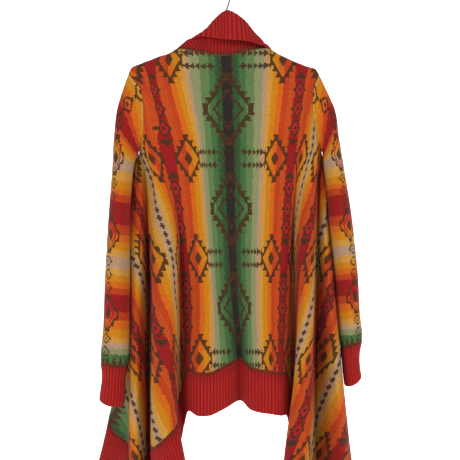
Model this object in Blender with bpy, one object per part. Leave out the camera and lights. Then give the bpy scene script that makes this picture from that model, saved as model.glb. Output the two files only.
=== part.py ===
"""Knit wrap with long sleeves and draped fronts, hung open on a wooden hanger.

The body is one folded shell, cut into a back and two fronts at the side seams. A ribbed border runs
round it: hem at the back, bands round the front corners and up the front edges, and a shawl collar
that folds over at the neck. Two sleeves end in ribbed cuffs. The hanger's hook carries the whole.

Frame: +Z up, the back of the garment faces -Y, and the origin is under the crown of the hook, where
a rail carries it. Tables are in millimetres.
"""

import math

import bmesh
import bpy
import numpy as np

MM = 0.001

# Cloth
CLOTH = 2.4  # thickness of the knit
RIB_PITCH = 7.2  # from one rib to the next
RIB_RISE = 1.0  # how far a rib stands out of the ribbing
RIB_GROUND = 1.9  # thickness of the ribbing between two ribs
BORDER = 88.0  # width of the hem and the front bands
SEAM = 0.4  # half the distance between the edges of two sewn pieces
SHARP = math.radians(32)  # ribbing that bends more than this keeps all its columns
REACH = 3.5  # rims closer than this belong to one seam
HANG = 0.45  # share of the border's direction that comes from its own weight

# Levels of the body, from the hook down
UNDERARM, WAIST, HIP, THIGH = -400.0, -560.0, -720.0, -880.0
LEVELS = (UNDERARM, WAIST, HIP, THIGH)

# Rounding of the cloth over the hanger: (drop below the shoulder line, distance from it)
OVER_HANGER = ((3.0, 7.5), (13.0, 12.5))

# How the surface is sampled, as shares of the way from the top edge to the border's seam
UNDER_SHOULDER = (0.0, 0.0045, 0.019, 0.07, 0.15, 0.25, 0.36, 0.48, 0.61, 0.74, 0.87, 1.0)
UNDER_ARMHOLE = (0.0, 0.022, 0.05, 0.09, 0.155, 0.25, 0.36, 0.48, 0.61, 0.74, 0.87, 1.0)
NARROW = 13.0  # folds closer than this have no column between them
DOWN_SLEEVE = (2, 1, 1, 1, 1, 1, 1)

# The folds of the body, in order round it from the left front edge, across the back, to the right
# front edge. Each runs down from its top to the border's seam. Columns: name, top x y z, then x y
# at the underarm, waist, hip and thigh levels (None above the top or below the seam), and seam x y z.
N = None
FOLDS = (
    ("left_neckline", -106, 1, -187.5, N, N, N, N, N, N, N, N, -116, 40, -318),
    ("left_break", -126, 1, -197.5, -131, 42, N, N, N, N, N, N, -146, 72, -533),
    ("left_front_mid", -149, 1, -206, -143, 40, -150, 64, N, N, N, N, -185, 96, -727),
    ("left_front_low", -180, 1, -217, -156, 36, -168, 60, -188, 88, N, N, -228, 108, -888),
    ("left_point", -207, 1, -235, -163, 35, -200, 52, -212, 69, -236, 82, -260, 90, -1003),
    ("left_turn", -183, 14, -288, -168, 31, -197, 30, -201, 36, -207, 40, -214, 42, -1044),
    ("drape_outer", -177, 17, -334, -172, 27, -203, -2, -203, -6, -204, -6, -207, -4, -1076),
    ("drape_crest", -178, 16, -370, -176, 21, -188, -13, -189, -19, -191, -23, -191, -23, -1092),
    ("drape_inner", -182, 10, -392, N, N, -178, -3, -176, -3, -176, 0, -176, 6, -1072),
    ("left_side", -185, 2, -402, N, N, -170, 13, -169, 36, -169, 40, -168, 38, -1056),
    ("left_ridge_a", -183, -6, -394, N, N, -161, -8, -159, 2, -160, 4, -160, 6, -1050),
    ("left_ridge_b", -180, -12, -380, -177, -17, -151, -27, -155, -30, -157, -31, -158, -30, -1043),
    ("left_ridge_c", -177.5, -15, -362, -170, -20, -135, -38, -140, -52, -142, -56, -143, -57, -1030),
    ("left_ridge_d", -176, -16, -335, -162, -22, -120, -40, -118, -55, -118, -60, -119, -62, -1007),
    ("left_ridge_e", -177.5, -15.5, -304, -153, -23, -111, -33, -107, -42, -105, -45, -104, -46, -988),
    ("left_flute_in", -185, -13, -270, -143, -24, -106, -26, -103, -20, -103, -18, -106, -14, -955),
    ("left_flute", -207, -1, -235, -133, -24, -102, -21, -98, 0, -97, 2, -96, 2, -915),
    ("left_flute_out", -160, -1, -210.5, -119, -24, -96, -23, -83, -18, N, N, -84, -20, -878),
    ("back_gold_left", -122, -1, -197, -83, -24, -67, -30, -53, -37, N, N, -58, -43, -881),
    ("left_neck", -100, -3, -186, -62, -24, -48, -32, -34, -40, N, N, -33, -46, -879.5),
    ("back_green_left", -52, -14, -193.5, -38, -23, -27, -31, -16, -37, N, N, -4, -40, -866.5),
    ("spine", 0, -22, -199.5, 7, -22, 12, -26, 19, -25, N, N, 31, -12, -853),
    ("back_green_right", 52, -16, -189, 52, -23, 49, -31, 49, -36, N, N, 53, -38, -868.5),
    ("right_neck", 86, -3, -184, 77, -24, 71, -33, 67, -40, N, N, 71, -44, -873.5),
    ("back_gold_right", 112, -1, -198, 97, -24, 91, -33, 87, -42, N, N, 90, -46, -876),
    ("back_red_right", 155, -1, -218, 139, -24, 126, -28, 119, -35, N, N, 116, -40, -881),
    ("right_flute_out", 196, -1, -236, 152, -24, 139, -20, 135, -20, N, N, 131, -22, -886),
    ("right_flute", 187, -13, -272, 162, -24, 146, -8, 143, 2, 142, 3, 141, 3, -945),
    ("right_flute_in", 185, -16, -306, 172, -23, 154, -24, 152, -19, 152, -16, 152, -13, -1006),
    ("right_ridge_a", 187, -16, -336, 181, -22, 162, -41, 157, -48, 146, -46, 122, -44, -1074),
    ("right_ridge_b", 192, -15, -362, 189, -20, 174, -48, 168, -60, 155, -62, 139, -66, -1094),
    ("right_ridge_c", 197, -12, -383, 195, -16, 186, -37, 183, -43, 176, -54, 168, -58, -1108),
    ("right_ridge_d", 202, -6, -397, N, N, 192, -12, 188, -12, 185, -14, 182, -14, -1114),
    ("right_side", 205, 2, -405, N, N, 199, 4, 197, 16, 195, 20, 195, 20, -1120),
    ("fall_inner", 202, 10, -395, N, N, 202, -10, 210, -12, 217, -12, 225, -12, -1140),
    ("fall_crest", 196, 16, -373, 194, 21, 212, -20, 221, -34, 234, -40, 251, -42, -1174),
    ("fall_outer", 189, 17, -338, 187, 27, 218, -8, 233, -16, 247, -16, 275, -14, -1157),
    ("right_turn", 187, 14, -290, 182, 31, 211, 24, 228, 28, 243, 34, 270, 36, -1122),
    ("right_point", 196, 1, -236, 176, 35, 204, 48, 221, 66, 236, 78, 256, 84, -1060),
    ("right_front_low", 172, 1, -224, 166, 37, 184, 60, 200, 88, 205, 103, 198, 107, -920),
    ("right_front_mid", 138, 1, -210, 148, 40, 156, 64, N, N, N, N, 160, 95, -737),
    ("right_break", 110, 1, -197, 124, 42, N, N, N, N, N, N, 127, 72, -538),
    ("right_neckline", 92, 1, -187.5, N, N, N, N, N, N, N, N, 101, 40, -322),
)

# More places that folds pass through, where the shoulders run into the armholes and the side seams
# sink between two ridges. Columns: fold, z x y.
GUIDES = (
    ("left_front_low", -288, -163, 28),
    ("left_point", -262, -187, 17),
    ("left_point", -288, -173, 23),
    ("left_point", -455, -186, 43),
    ("left_turn", -334, -171, 25),
    ("left_turn", -425, -185, 32),
    ("left_turn", -455, -192, 31),
    ("left_turn", -500, -194, 30),
    ("drape_outer", -370, -173, 23),
    ("drape_outer", -425, -194.5, 20),
    ("drape_outer", -455, -199.5, 11),
    ("drape_outer", -500, -201.5, 5),
    ("drape_crest", -425, -192.5, 12),
    ("drape_crest", -455, -195, 1),
    ("drape_crest", -500, -193, -6),
    ("drape_inner", -425, -188, 3),
    ("drape_inner", -455, -186, -7),
    ("left_side", -425, -179, -2),
    ("left_side", -455, -174, 1),
    ("left_ridge_a", -425, -174, -10),
    ("left_ridge_a", -455, -165, -11),
    ("left_ridge_b", -425, -167, -20),
    ("left_ridge_b", -455, -157, -25),
    ("left_flute_in", -304, -169, -18),
    ("left_flute", -262, -178, -16),
    ("left_flute", -304, -158, -20),
    ("right_flute_out", -262, 180, -16),
    ("right_flute_out", -304, 169, -20),
    ("right_flute", -304, 176, -19),
    ("right_flute_in", -336, 179, -20),
    ("right_ridge_c", -430, 194, -22),
    ("right_ridge_c", -460, 191, -27),
    ("right_ridge_d", -430, 198, -12),
    ("right_ridge_d", -460, 194, -14),
    ("right_side", -430, 203, -4),
    ("right_side", -460, 200, -3),
    ("fall_inner", -430, 208, 5),
    ("fall_inner", -460, 206, -6),
    ("fall_crest", -430, 206, 15),
    ("fall_crest", -460, 212, 3),
    ("fall_outer", -373, 186, 25),
    ("fall_outer", -430, 194, 25),
    ("fall_outer", -460, 205, 18),
    ("right_turn", -338, 181, 26),
    ("right_point", -262, 184, 17),
    ("right_point", -290, 177, 23),
    ("right_front_low", -290, 167, 28),
)

# Where folds guide the border: its run along x and y at its free edge, as shares of its width.
LEANS = (
    ("left_point", -0.24, 0.05),
    ("left_turn", -0.6, 0.1),
    ("drape_outer", -0.28, -0.02),
    ("drape_crest", -0.08, -0.12),
    ("drape_inner", -0.03, 0.02),
    ("left_side", 0.02, 0.06),
    ("left_ridge_a", 0.08, 0.0),
    ("left_ridge_b", 0.13, -0.07),
    ("left_ridge_c", 0.3, -0.12),
    ("left_ridge_d", 0.33, -0.16),
    ("left_ridge_e", 0.22, -0.08),
    ("left_flute_in", 0.08, 0.0),
    ("left_flute", 0.05, 0.04),
    ("left_flute_out", 0.01, 0.0),
    ("back_gold_left", 0.0, -0.04),
    ("left_neck", 0.0, -0.04),
    ("back_green_left", 0.0, -0.04),
    ("spine", 0.0, 0.0),
    ("back_green_right", 0.0, -0.04),
    ("right_neck", 0.0, -0.04),
    ("back_gold_right", 0.0, -0.04),
    ("back_red_right", 0.0, -0.03),
    ("right_flute_out", 0.0, 0.0),
    ("right_flute", 0.0, 0.03),
    ("right_flute_in", 0.0, 0.0),
    ("right_ridge_a", -0.08, -0.04),
    ("right_ridge_b", -0.06, -0.1),
    ("right_ridge_c", 0.0, -0.12),
    ("right_ridge_d", 0.02, 0.0),
    ("right_side", 0.04, 0.06),
    ("fall_inner", 0.05, 0.0),
    ("fall_crest", 0.08, -0.12),
    ("fall_outer", 0.12, 0.0),
)

# The collar's stations from the left front band round the neck to the right one. Columns: fold x y z,
# where the ribbing turns over, and free edge x y z. The seam comes from the body. The first and last
# stations lie flat, and their fold and edge come from the front bands.
COLLAR = (
    ("left_chest", -86, 70, -415, -130, 86, -440),
    ("left_collarbone", -66, 56, -300, -126, 74, -340),
    ("left_neck_front", -70, 34, -206, -132, 56, -258),
    ("left_shoulder", -82, 14, -166, -106, 36, -196),
    ("back_left", -51, -2, -156.5, -60, -8, -162),
    ("back_peak_left", -25, -9, -125, -20, -34, -169),
    ("back_peak", 2, -9, -106, 4, -39, -172),
    ("back_peak_right", 31, -9, -123.5, 44, -37, -175),
    ("back_right", 58, -6, -155, 68, -27, -180),
    ("right_shoulder", 75, 4, -172, 88, -15, -184.5),
    ("right_over", 75, 13, -177, 97, 5, -187.2),
    ("right_neck_front", 60, 34, -208, 118, 52, -262),
    ("right_collarbone", 52, 56, -306, 112, 74, -346),
    ("right_chest", 72, 70, -424, 116, 86, -450),
)
NECK_X = (-53, -27, 0, 29, 57)  # where the five stations of the back neck stand on the seam
COLLAR_BOW = 5.0  # how far the fall bows away from the stand
FOLD_HALF = 3.0  # half the thickness of the fold's turn

# The sleeves' rings from the armhole down. Columns: outer x z, inner x z, back y, front y.
SLEEVES = {
    "left": (
        ("cap", -230, -306, -189, -408, -29, 31),
        ("underarm", -238, -362, -198.5, -428, -37, 40),
        ("upper_arm", -243, -440, -205.5, -482, -41, 46),
        ("above_elbow", -250, -533, -208, -548, -44, 54),
        ("elbow", -258, -651, -208.2, -651, -44, 57),
        ("forearm", -263, -780, -208.5, -780, -37, 50),
        ("cuff_seam", -268, -861, -212.5, -869, -29, 40),
    ),
    "right": (
        ("cap", 229, -311, 210, -411, -29, 31),
        ("underarm", 239, -365, 211.5, -432, -37, 40),
        ("upper_arm", 252, -440, 217.7, -482, -41, 46),
        ("above_elbow", 267, -533, 221, -548, -44, 54),
        ("elbow", 281, -655, 232, -655, -42, 57),
        ("forearm", 287, -752, 240.7, -752, -37, 50),
        ("cuff_seam", 291, -812, 248, -829, -30, 40),
    ),
}
CUFFS = {
    "left": (
        ("seam", -268, -861, -212.5, -869, -29, 40),
        ("narrow", -265, -888, -218, -892, -25, 35),
        ("wide", -269, -925, -219, -925, -26, 36),
        ("end", -271, -941, -221, -951, -25, 35),
    ),
    "right": (
        ("seam", 291, -812, 248, -829, -30, 40),
        ("narrow", 286, -840, 251, -854, -25, 35),
        ("wide", 286, -868, 253.5, -882, -25, 35),
        ("end", 290, -892, 257, -910, -24, 34),
    ),
}
CUFF_SAG = {"left": 6.0, "right": 5.0}  # how far a cuff's edge hangs lower in its middle
SLEEVE_SHOULDERS = {
    "left": ("left_point", "left_flute"),
    "right": ("right_flute_out", "right_point"),
}

# Hanger
HANGER_TIP = 190.0
HANGER_THICK = 10.0
HANGER_DEEP = 20.0
ARM_SLOPE = 0.40
ARM_TILT = 0.03  # the hanger hangs a little lower on the right
ARM_AT_100 = -194.8
WIRE = 3.8
HOOK_RADIUS = 22.0  # inside the crook
HOOK_BEND = -108.0  # where the straight stem leans over
HOOK_LEAN = math.radians(16.6)
HOOK_END = math.radians(198.0)
NECK_WOOD = -156.0


def colour_of(name, rgb, roughness, metallic=0.0):
    """A plain Principled material."""
    material = bpy.data.materials.get(name) or bpy.data.materials.new(name)
    material.use_nodes = True
    shader = material.node_tree.nodes["Principled BSDF"]
    shader.inputs["Base Color"].default_value = (*rgb, 1.0)
    shader.inputs["Roughness"].default_value = roughness
    shader.inputs["Metallic"].default_value = metallic
    return material


def hermite(knots, values, at):
    """A smooth curve through values at rising knots, read at the places in at."""
    knots, values = np.asarray(knots, float), np.asarray(values, float)
    step = np.diff(knots).reshape(-1, *[1] * (values.ndim - 1))
    slope = np.diff(values, axis=0) / step
    tangent = np.empty_like(values)
    tangent[0], tangent[-1] = slope[0], slope[-1]
    if len(knots) > 2:
        before, after = step[:-1], step[1:]
        tangent[1:-1] = (slope[:-1] * after + slope[1:] * before) / (before + after)
    i = np.clip(np.searchsorted(knots, at, side="right") - 1, 0, len(knots) - 2)
    wide = step[i]
    t = ((np.asarray(at, float) - knots[i]) / (knots[i + 1] - knots[i])).reshape(wide.shape)
    t2, t3 = t * t, t * t * t
    return (
        (2 * t3 - 3 * t2 + 1) * values[i]
        + (t3 - 2 * t2 + t) * wide * tangent[i]
        + (3 * t2 - 2 * t3) * values[i + 1]
        + (t3 - t2) * wide * tangent[i + 1]
    )


def unit(vectors):
    """Each row at length 1."""
    return vectors / np.maximum(np.linalg.norm(vectors, axis=-1, keepdims=True), 1e-12)


def fold_line(fold):
    """A fold's own places: heights from low to high, and x and y there."""
    name, x0, y0, z0, *rest = fold
    xs, ys, zs = rest[-3:]
    line = [(z0, x0, y0)]
    line += [(z, x, y) for guided, z, x, y in GUIDES if guided == name]
    if abs(y0) <= 3 and 85 < abs(x0) < HANGER_TIP and z0 > UNDERARM:
        for drop, out in OVER_HANGER:
            line.append((z0 - drop, x0, math.copysign(out, y0)))
    for level, x, y in zip(LEVELS, rest[0:8:2], rest[1:8:2], strict=True):
        if x is not None and zs < level < z0:
            line.append((level, x, y))
    line.append((zs, xs, ys))
    return np.array(sorted(line), float)


LINES = [fold_line(fold) for fold in FOLDS]
NAMES = [fold[0] for fold in FOLDS]


def folds_at(share):
    """Where every fold is, at that share of its way down from its top to the border's seam."""
    points = []
    for line in LINES:
        top, seam = line[-1, 0], line[0, 0]
        z = top + (seam - top) * share
        x, y = hermite(line[:, 0], line[:, 1:], np.array([z]))[0]
        points.append((x, y, z))
    return np.array(points)


def spread():
    """Where the body's columns are, along its girth."""
    places = [GIRTH[0]]
    for here, there in zip(GIRTH[:-1], GIRTH[1:], strict=True):
        places += list(np.linspace(here, there, 2 if there - here < NARROW else 3)[1:])
    return np.array(places)


def girth():
    """A running measure round the body, one value for each fold, from its own cloth's widths."""
    widths = [
        np.linalg.norm(np.diff(folds_at(share)[:, :2], axis=0), axis=1)
        for share in (0.35, 0.6, 0.85, 1.0)
    ]
    return np.concatenate([[0.0], np.cumsum(np.mean(widths, axis=0) + 4.0)])


GIRTH = girth()
AT = dict(zip(NAMES, GIRTH, strict=True))
PLACES = spread()


def body(u, shares):
    """The body's middle surface: points for each place u round it and each share of the way down."""
    return np.stack([hermite(GIRTH, folds_at(share), u) for share in shares], axis=1)


def shares_at(u):
    """How the rows are spread below the top edge there: close under the shoulders, wider elsewhere."""
    top = body(np.array([u]), (0.0,))[0, 0, 2]
    side = min(1.0, max(0.0, (-236.0 - top) / 8))
    return np.array(UNDER_SHOULDER) * (1 - side) + np.array(UNDER_ARMHOLE) * side


def border_directions():
    """Which way the border runs from the seam at each fold, square to the seam and sagging a little."""
    seam, above = folds_at(1.0), folds_at(0.93)
    down = unit(seam - above)
    along = unit(np.gradient(seam, GIRTH, axis=0))
    out = unit(down - (down * along).sum(1, keepdims=True) * along)
    ways = unit(out * (1 - HANG) + np.array([0, 0, -1.0]) * HANG)
    for name, x, y in LEANS:
        ways[NAMES.index(name)] = (x, y, -math.sqrt(1 - x * x - y * y))
    return ways


DIRECTIONS = border_directions()


def straight(places, points, at):
    """Points in straight runs between those at places."""
    return np.stack([np.interp(at, places, points[:, k]) for k in range(3)], axis=1)


def border(u, shares):
    """The border's middle surface, from the body's seam to its free edge."""
    seam = straight(PLACES, body(PLACES, (1.0,))[:, 0], u)
    way = unit(hermite(GIRTH, DIRECTIONS, u)) * BORDER
    return np.stack([seam + way * share for share in shares], axis=1)


def tangents(grid, axis, closed=False):
    """The grid's direction along an axis at every point, whatever the spacing."""
    grid = np.moveaxis(grid, axis, 0)
    if closed:
        ahead = unit(np.roll(grid, -1, axis=0) - grid)
        behind = np.roll(ahead, 1, axis=0)
    else:
        step = unit(np.diff(grid, axis=0))
        ahead = np.concatenate([step, step[-1:]])
        behind = np.concatenate([step[:1], step])
    return np.moveaxis(unit(ahead + behind), 0, axis)


def normals_of(grid, closed=False):
    """Outward unit normals of a grid whose columns run round the body and whose rows run down."""
    return unit(np.cross(tangents(grid, 1), tangents(grid, 0, closed)))


def rims(grid, closed):
    """Where the rims of a grid are: index pairs of its four sides, or of its two ends if closed."""
    columns, rows = grid.shape[:2]
    ends = [(np.arange(columns), np.full(columns, row)) for row in (0, rows - 1)]
    if closed:
        return [(np.append(i, 0), np.append(j, j[0])) for i, j in ends]
    sides = [(np.full(rows, column), np.arange(rows)) for column in (0, columns - 1)]
    return ends + sides


def mitre(pieces):
    """Gives the rims of neighbouring pieces common normals, so that their walls meet edge to edge."""
    starts, ends, first, last, owner = [], [], [], [], []
    for number, piece in enumerate(pieces):
        for i, j in rims(piece["grid"], piece["closed"]):
            points, normals = piece["grid"][i, j], piece["normals"][i, j]
            starts.append(points[:-1])
            ends.append(points[1:])
            first.append(normals[:-1])
            last.append(normals[1:])
            owner.append(np.full(len(points) - 1, number))
    starts, ends, first, last = (np.concatenate(a) for a in (starts, ends, first, last))
    owner = np.concatenate(owner)
    way = ends - starts
    size = np.maximum((way * way).sum(1), 1e-9)
    for number, piece in enumerate(pieces):
        fixed = piece["normals"].copy()
        for i, j in rims(piece["grid"], piece["closed"]):
            for a, b in zip(i, j, strict=True):
                point = piece["grid"][a, b]
                share = np.clip(((point - starts) * way).sum(1) / size, 0, 1)[:, None]
                away = np.linalg.norm(starts + way * share - point, axis=1)
                total = piece["normals"][a, b].copy()
                for other in set(owner[away < REACH]) - {number}:
                    k = np.argmin(np.where(owner == other, away, np.inf))
                    total += unit(first[k] * (1 - share[k]) + last[k] * share[k])
                fixed[a, b] = unit(total)
        piece["fixed"] = fixed
    for piece in pieces:
        piece["normals"] = piece.pop("fixed")


def part_from(grid, axis, end):
    """Moves one rim of a grid inwards by a seam's half gap, and the points behind it a little less."""
    grid = np.moveaxis(grid, axis, 0).copy()
    if end:
        grid = grid[::-1]
    along = tangents(grid[0], 0)
    inward = grid[1] - grid[0]
    inward = unit(inward - (inward * along).sum(1, keepdims=True) * along)
    depth = np.abs(((grid - grid[0]) * inward).sum(2, keepdims=True))
    grid = grid + inward * SEAM * np.exp(-depth / 6)
    if end:
        grid = grid[::-1]
    return np.moveaxis(grid, 0, axis)


def wall(name, outer, inner, kept, material, closed=False):
    """A closed cloth wall between an outer and an inner grid, which has the kept columns only."""
    columns, rows = outer.shape[:2]
    verts = np.concatenate([outer.reshape(-1, 3), inner[kept].reshape(-1, 3)]) * MM
    inner_columns = len(kept)
    spans = [(k, kept[k], kept[k + 1]) for k in range(inner_columns - 1)]
    if closed:
        spans.append((inner_columns - 1, kept[-1], columns))

    def out_at(i, j):
        return (i % columns) * rows + j

    def in_at(k, j):
        return columns * rows + (k % inner_columns) * rows + j

    faces = []
    for k, start, end in spans:
        for j in range(rows - 1):
            for i in range(start, end):
                faces.append((out_at(i, j), out_at(i + 1, j), out_at(i + 1, j + 1), out_at(i, j + 1)))
            faces.append((in_at(k, j), in_at(k, j + 1), in_at(k + 1, j + 1), in_at(k + 1, j)))
        for j in (0, rows - 1):
            rim = [out_at(i, j) for i in range(start, end + 1)]
            faces.append((*rim, in_at(k + 1, j), in_at(k, j)))
    if not closed:
        for i, k in ((0, 0), (columns - 1, inner_columns - 1)):
            for j in range(rows - 1):
                faces.append((out_at(i, j), out_at(i, j + 1), in_at(k, j + 1), in_at(k, j)))
    return solid(name, verts, faces, material)


def solid(name, verts, faces, material):
    """An object from points and faces, its faces turned outwards."""
    mesh = bpy.data.meshes.new(name)
    mesh.from_pydata([tuple(v) for v in verts], [], [tuple(f) for f in faces])
    shape = bmesh.new()
    shape.from_mesh(mesh)
    bmesh.ops.triangulate(shape, faces=shape.faces[:])
    bmesh.ops.recalc_face_normals(shape, faces=shape.faces[:])
    shape.to_mesh(mesh)
    shape.free()
    mesh.shade_smooth()
    mesh.set_sharp_from_angle(angle=math.radians(50))
    mesh.materials.append(material)
    made = bpy.data.objects.new(name, mesh)
    bpy.context.scene.collection.objects.link(made)
    return made


def sheet(name, grid, material, ribs=0, closed=False, side=1):
    """A piece of cloth about its middle surface: ribs 0 for plain, 1 ribbed outside, 2 both sides."""
    return {
        "name": name,
        "grid": grid,
        "normals": normals_of(grid, closed) * side,
        "material": material,
        "ribs": ribs,
        "closed": closed,
    }


def kept_columns(piece):
    """Which columns the inner side of ribbing has: every second one, and those at a sharp bend."""
    grid = piece["grid"]
    step = unit(np.diff(grid, axis=0, append=grid[:1]))
    turn = (step * np.roll(step, 1, axis=0)).sum(2).min(axis=1)
    sharp = turn < math.cos(SHARP)
    if not piece["closed"]:
        sharp[0] = sharp[-1] = True
    return [k for k in range(len(grid)) if k % 2 == 0 or sharp[k]]


def thicken(piece):
    """The solid of a piece. Every second column of ribbing stands out."""
    grid, out, ribs = piece["grid"], piece["normals"], piece["ribs"]
    kept = list(range(len(grid)))
    if not ribs:
        outer, inner = grid + out * CLOTH / 2, grid - out * CLOTH / 2
    else:
        rise = np.where(np.arange(len(grid)) % 2 == 1, RIB_RISE, 0.0)[:, None, None]
        if ribs == 2:
            outer = grid + out * (RIB_GROUND + rise) / 2
            inner = grid - out * (RIB_GROUND + rise) / 2
        else:
            outer = grid + out * (RIB_GROUND / 2 + rise)
            inner = grid - out * RIB_GROUND / 2
            kept = kept_columns(piece)
    return wall(piece["name"], outer, inner, kept, piece["material"], piece["closed"])


def panel(name, first, last, material):
    """A piece of the body between two folds, with a gap at its seams."""
    columns = PLACES[(PLACES >= AT[first]) & (PLACES <= AT[last])]
    grid = np.stack([body(np.array([u]), shares_at(u))[0] for u in columns])
    for axis, end in ((1, False), (1, True), (0, False), (0, True)):
        grid = part_from(grid, axis, end)
    return sheet(name, grid, material)


def border_piece(name, first, last, material):
    """A ribbed piece of the border between two folds. Its ribs share the body's columns."""
    columns = PLACES[(PLACES >= AT[first]) & (PLACES <= AT[last])]
    size = np.linalg.norm(np.diff(border(columns, (0.0,))[:, 0], axis=0), axis=1)
    places = [columns[0]]
    for here, there, length in zip(columns[:-1], columns[1:], size, strict=True):
        places += list(np.linspace(here, there, max(1, round(length / RIB_PITCH * 2)) + 1)[1:])
    grid = border(np.array(places), (0.0, 1.0))
    for axis, end in ((1, False), (0, False), (0, True)):
        grid = part_from(grid, axis, end)
    return sheet(name, grid, material, ribs=1)


def collar_seam():
    """The collar's seam line as a fine row of points, and the places of the stations along it."""
    left, right = AT["left_neckline"], AT["right_neckline"]
    up, down = np.linspace(1, 0, 41), np.array(UNDER_SHOULDER)
    neck = straight(PLACES, body(PLACES, (0.0,))[:, 0], np.linspace(AT["left_neck"], AT["right_neck"], 81))
    runs = (
        border(np.linspace(AT["left_break"], left, 41), (0.0,))[:, 0],
        straight(down, body(np.array([left]), down)[0], up),
        neck,
        straight(down, body(np.array([right]), down)[0], up[::-1]),
        border(np.linspace(right, AT["right_break"], 41), (0.0,))[:, 0],
    )
    starts = np.cumsum([0] + [len(run) for run in runs])
    line = np.concatenate(runs)
    run = np.concatenate([[0.0], np.cumsum(np.linalg.norm(np.diff(line, axis=0), axis=1))])
    marks = {"left_break": 0, "left_chest": starts[0] + 20, "left_collarbone": starts[1] + 2}
    marks |= {"left_neck_front": starts[1] + 22, "left_shoulder": starts[2]}
    marks |= {"right_shoulder": starts[3] - 1, "right_over": starts[3] + 1}
    marks |= {"right_neck_front": starts[3] + 18}
    marks |= {"right_collarbone": starts[4] - 3, "right_chest": starts[4] + 20}
    marks["right_break"] = len(line) - 1
    neck = ("back_left", "back_peak_left", "back_peak", "back_peak_right", "back_right")
    for name, x in zip(neck, NECK_X, strict=True):
        marks[name] = starts[2] + int(np.argmin(np.abs(runs[2][:, 0] - x)))
    return line, run, {name: run[mark] for name, mark in marks.items()}


def collar_grid(per_rib):
    """The collar's middle surface: columns along the neck, rows from its seam to its free edge."""
    line, run, marks = collar_seam()
    rows = {name: np.array(rest, float) for name, *rest in COLLAR}
    ends = border(np.array([AT["left_break"], AT["right_break"]]), (0.5, 1.0)).reshape(2, 6)
    rows |= {"left_break": ends[0], "right_break": ends[1]}
    order = sorted(marks, key=marks.get)
    knots = np.array([marks[name] for name in order])
    turns = hermite(knots, np.array([rows[name] for name in order]), np.linspace(0, run[-1], 901))
    count = round(run[-1] / RIB_PITCH) * per_rib
    places = np.linspace(0, run[-1], count + 1)
    seam = np.stack([np.interp(places, run, line[:, k]) for k in range(3)], axis=1)
    fine = np.linspace(0, run[-1], 901)
    turns = np.stack([np.interp(places, fine, turns[:, k]) for k in range(6)], axis=1)
    fold, edge = turns[:, :3], turns[:, 3:]
    across, middle = edge - seam, unit(fold - (seam + edge) / 2)
    outward = unit(across - (across * middle).sum(1, keepdims=True) * middle)
    folded = unit(fold - seam) - unit(edge - fold)
    folded = np.clip(np.linalg.norm(folded, axis=1, keepdims=True) - 0.6, 0, 1)
    fall = (fold + edge) / 2 + outward * COLLAR_BOW * folded
    turned = outward * FOLD_HALF * folded
    before = fold + unit(seam - fold) * FOLD_HALF * 0.6 - turned
    after = fold + unit(fall - fold) * FOLD_HALF * 0.6 + turned
    grid = np.stack([seam, before, after, fall, edge], axis=1)
    for axis, end in ((1, False), (0, False), (0, True)):
        grid = part_from(grid, axis, end)
    return grid


def armhole(side):
    """The body's columns round a sleeve's opening, and their shares of the way round it."""
    first, last = (AT[name] for name in SLEEVE_SHOULDERS[side])
    points = body(PLACES[(PLACES >= first) & (PLACES <= last)], (0.0,))[:, 0]
    run = np.concatenate([[0.0], np.cumsum(np.linalg.norm(np.diff(points, axis=0), axis=1))])
    return points, run / run[-1]


def ring(row, angles):
    """One ring of a sleeve or cuff. Angle 0 is its outer side and a quarter turn its front."""
    _, outer_x, outer_z, inner_x, inner_z, back, front = row
    c, s = np.cos(angles), np.sin(angles)
    flat = np.sign(s) * np.abs(s) ** 0.85
    x = (outer_x + inner_x) / 2 + (outer_x - inner_x) / 2 * c
    y = (front + back) / 2 + (front - back) / 2 * flat
    z = (outer_z + inner_z) / 2 + (outer_z - inner_z) / 2 * c
    return np.stack([x, y, z], axis=1)


def arm(side, shares):
    """A sleeve and its cuff as one tube of rings, with the running place of each ring."""
    points, places = armhole(side)
    turn = 2 * math.pi * shares
    if side == "right":
        turn = -turn
    rings = [straight(places, points, shares)]
    rings += [ring(row, turn) for row in SLEEVES[side] + CUFFS[side][1:]]
    rings = np.array(rings)
    rings[-1, :, 2] -= CUFF_SAG[side] * np.abs(np.sin(turn)) ** 1.5
    way = np.linalg.norm(np.diff(rings, axis=0), axis=2).mean(axis=1)
    return rings, np.concatenate([[0.0], np.cumsum(way)])


def through(rings, knots, places):
    """The tube's grid, round it and down it, at places along it."""
    return hermite(knots, rings, np.array(places)).transpose(1, 0, 2)


def part_ring(grid, end):
    """Moves the first or last ring of a tube along it by a seam's half gap."""
    grid = grid.copy()
    here, inside = (-1, -2) if end else (0, 1)
    grid[:, here] += unit(grid[:, inside] - grid[:, here]) * SEAM
    return grid


def sleeve(side, material):
    """A sleeve from its armhole to its cuff."""
    rings, knots = arm(side, armhole(side)[1][:-1])
    places = [0.0]
    for i, steps in enumerate(DOWN_SLEEVE):
        places += list(np.linspace(knots[i], knots[i + 1], steps + 1)[1:])
    grid = through(rings, knots, places)
    seam = grid[:, 0].copy()
    grid = part_ring(part_ring(grid, False), True)
    grid[:, 0] = seam + unit(grid[:, 1] - seam) * SEAM
    return sheet(f"sleeve_{side}", grid, material, closed=True, side=-1)


def cuff(side, material):
    """A ribbed cuff."""
    size = np.linalg.norm(np.diff(ring(CUFFS[side][1], np.linspace(0, 2 * math.pi, 73)), axis=0), axis=1)
    columns = 2 * round(size.sum() / RIB_PITCH)
    rings, knots = arm(side, np.arange(columns) / columns)
    grid = part_ring(through(rings, knots, knots[-len(CUFFS[side]) :]), False)
    return sheet(f"cuff_{side}", grid, material, ribs=1, closed=True, side=-1)


def arm_height(x):
    """Top of the hanger's arms."""
    return ARM_AT_100 - (abs(x) - 100) * ARM_SLOPE - ARM_TILT * x


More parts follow.
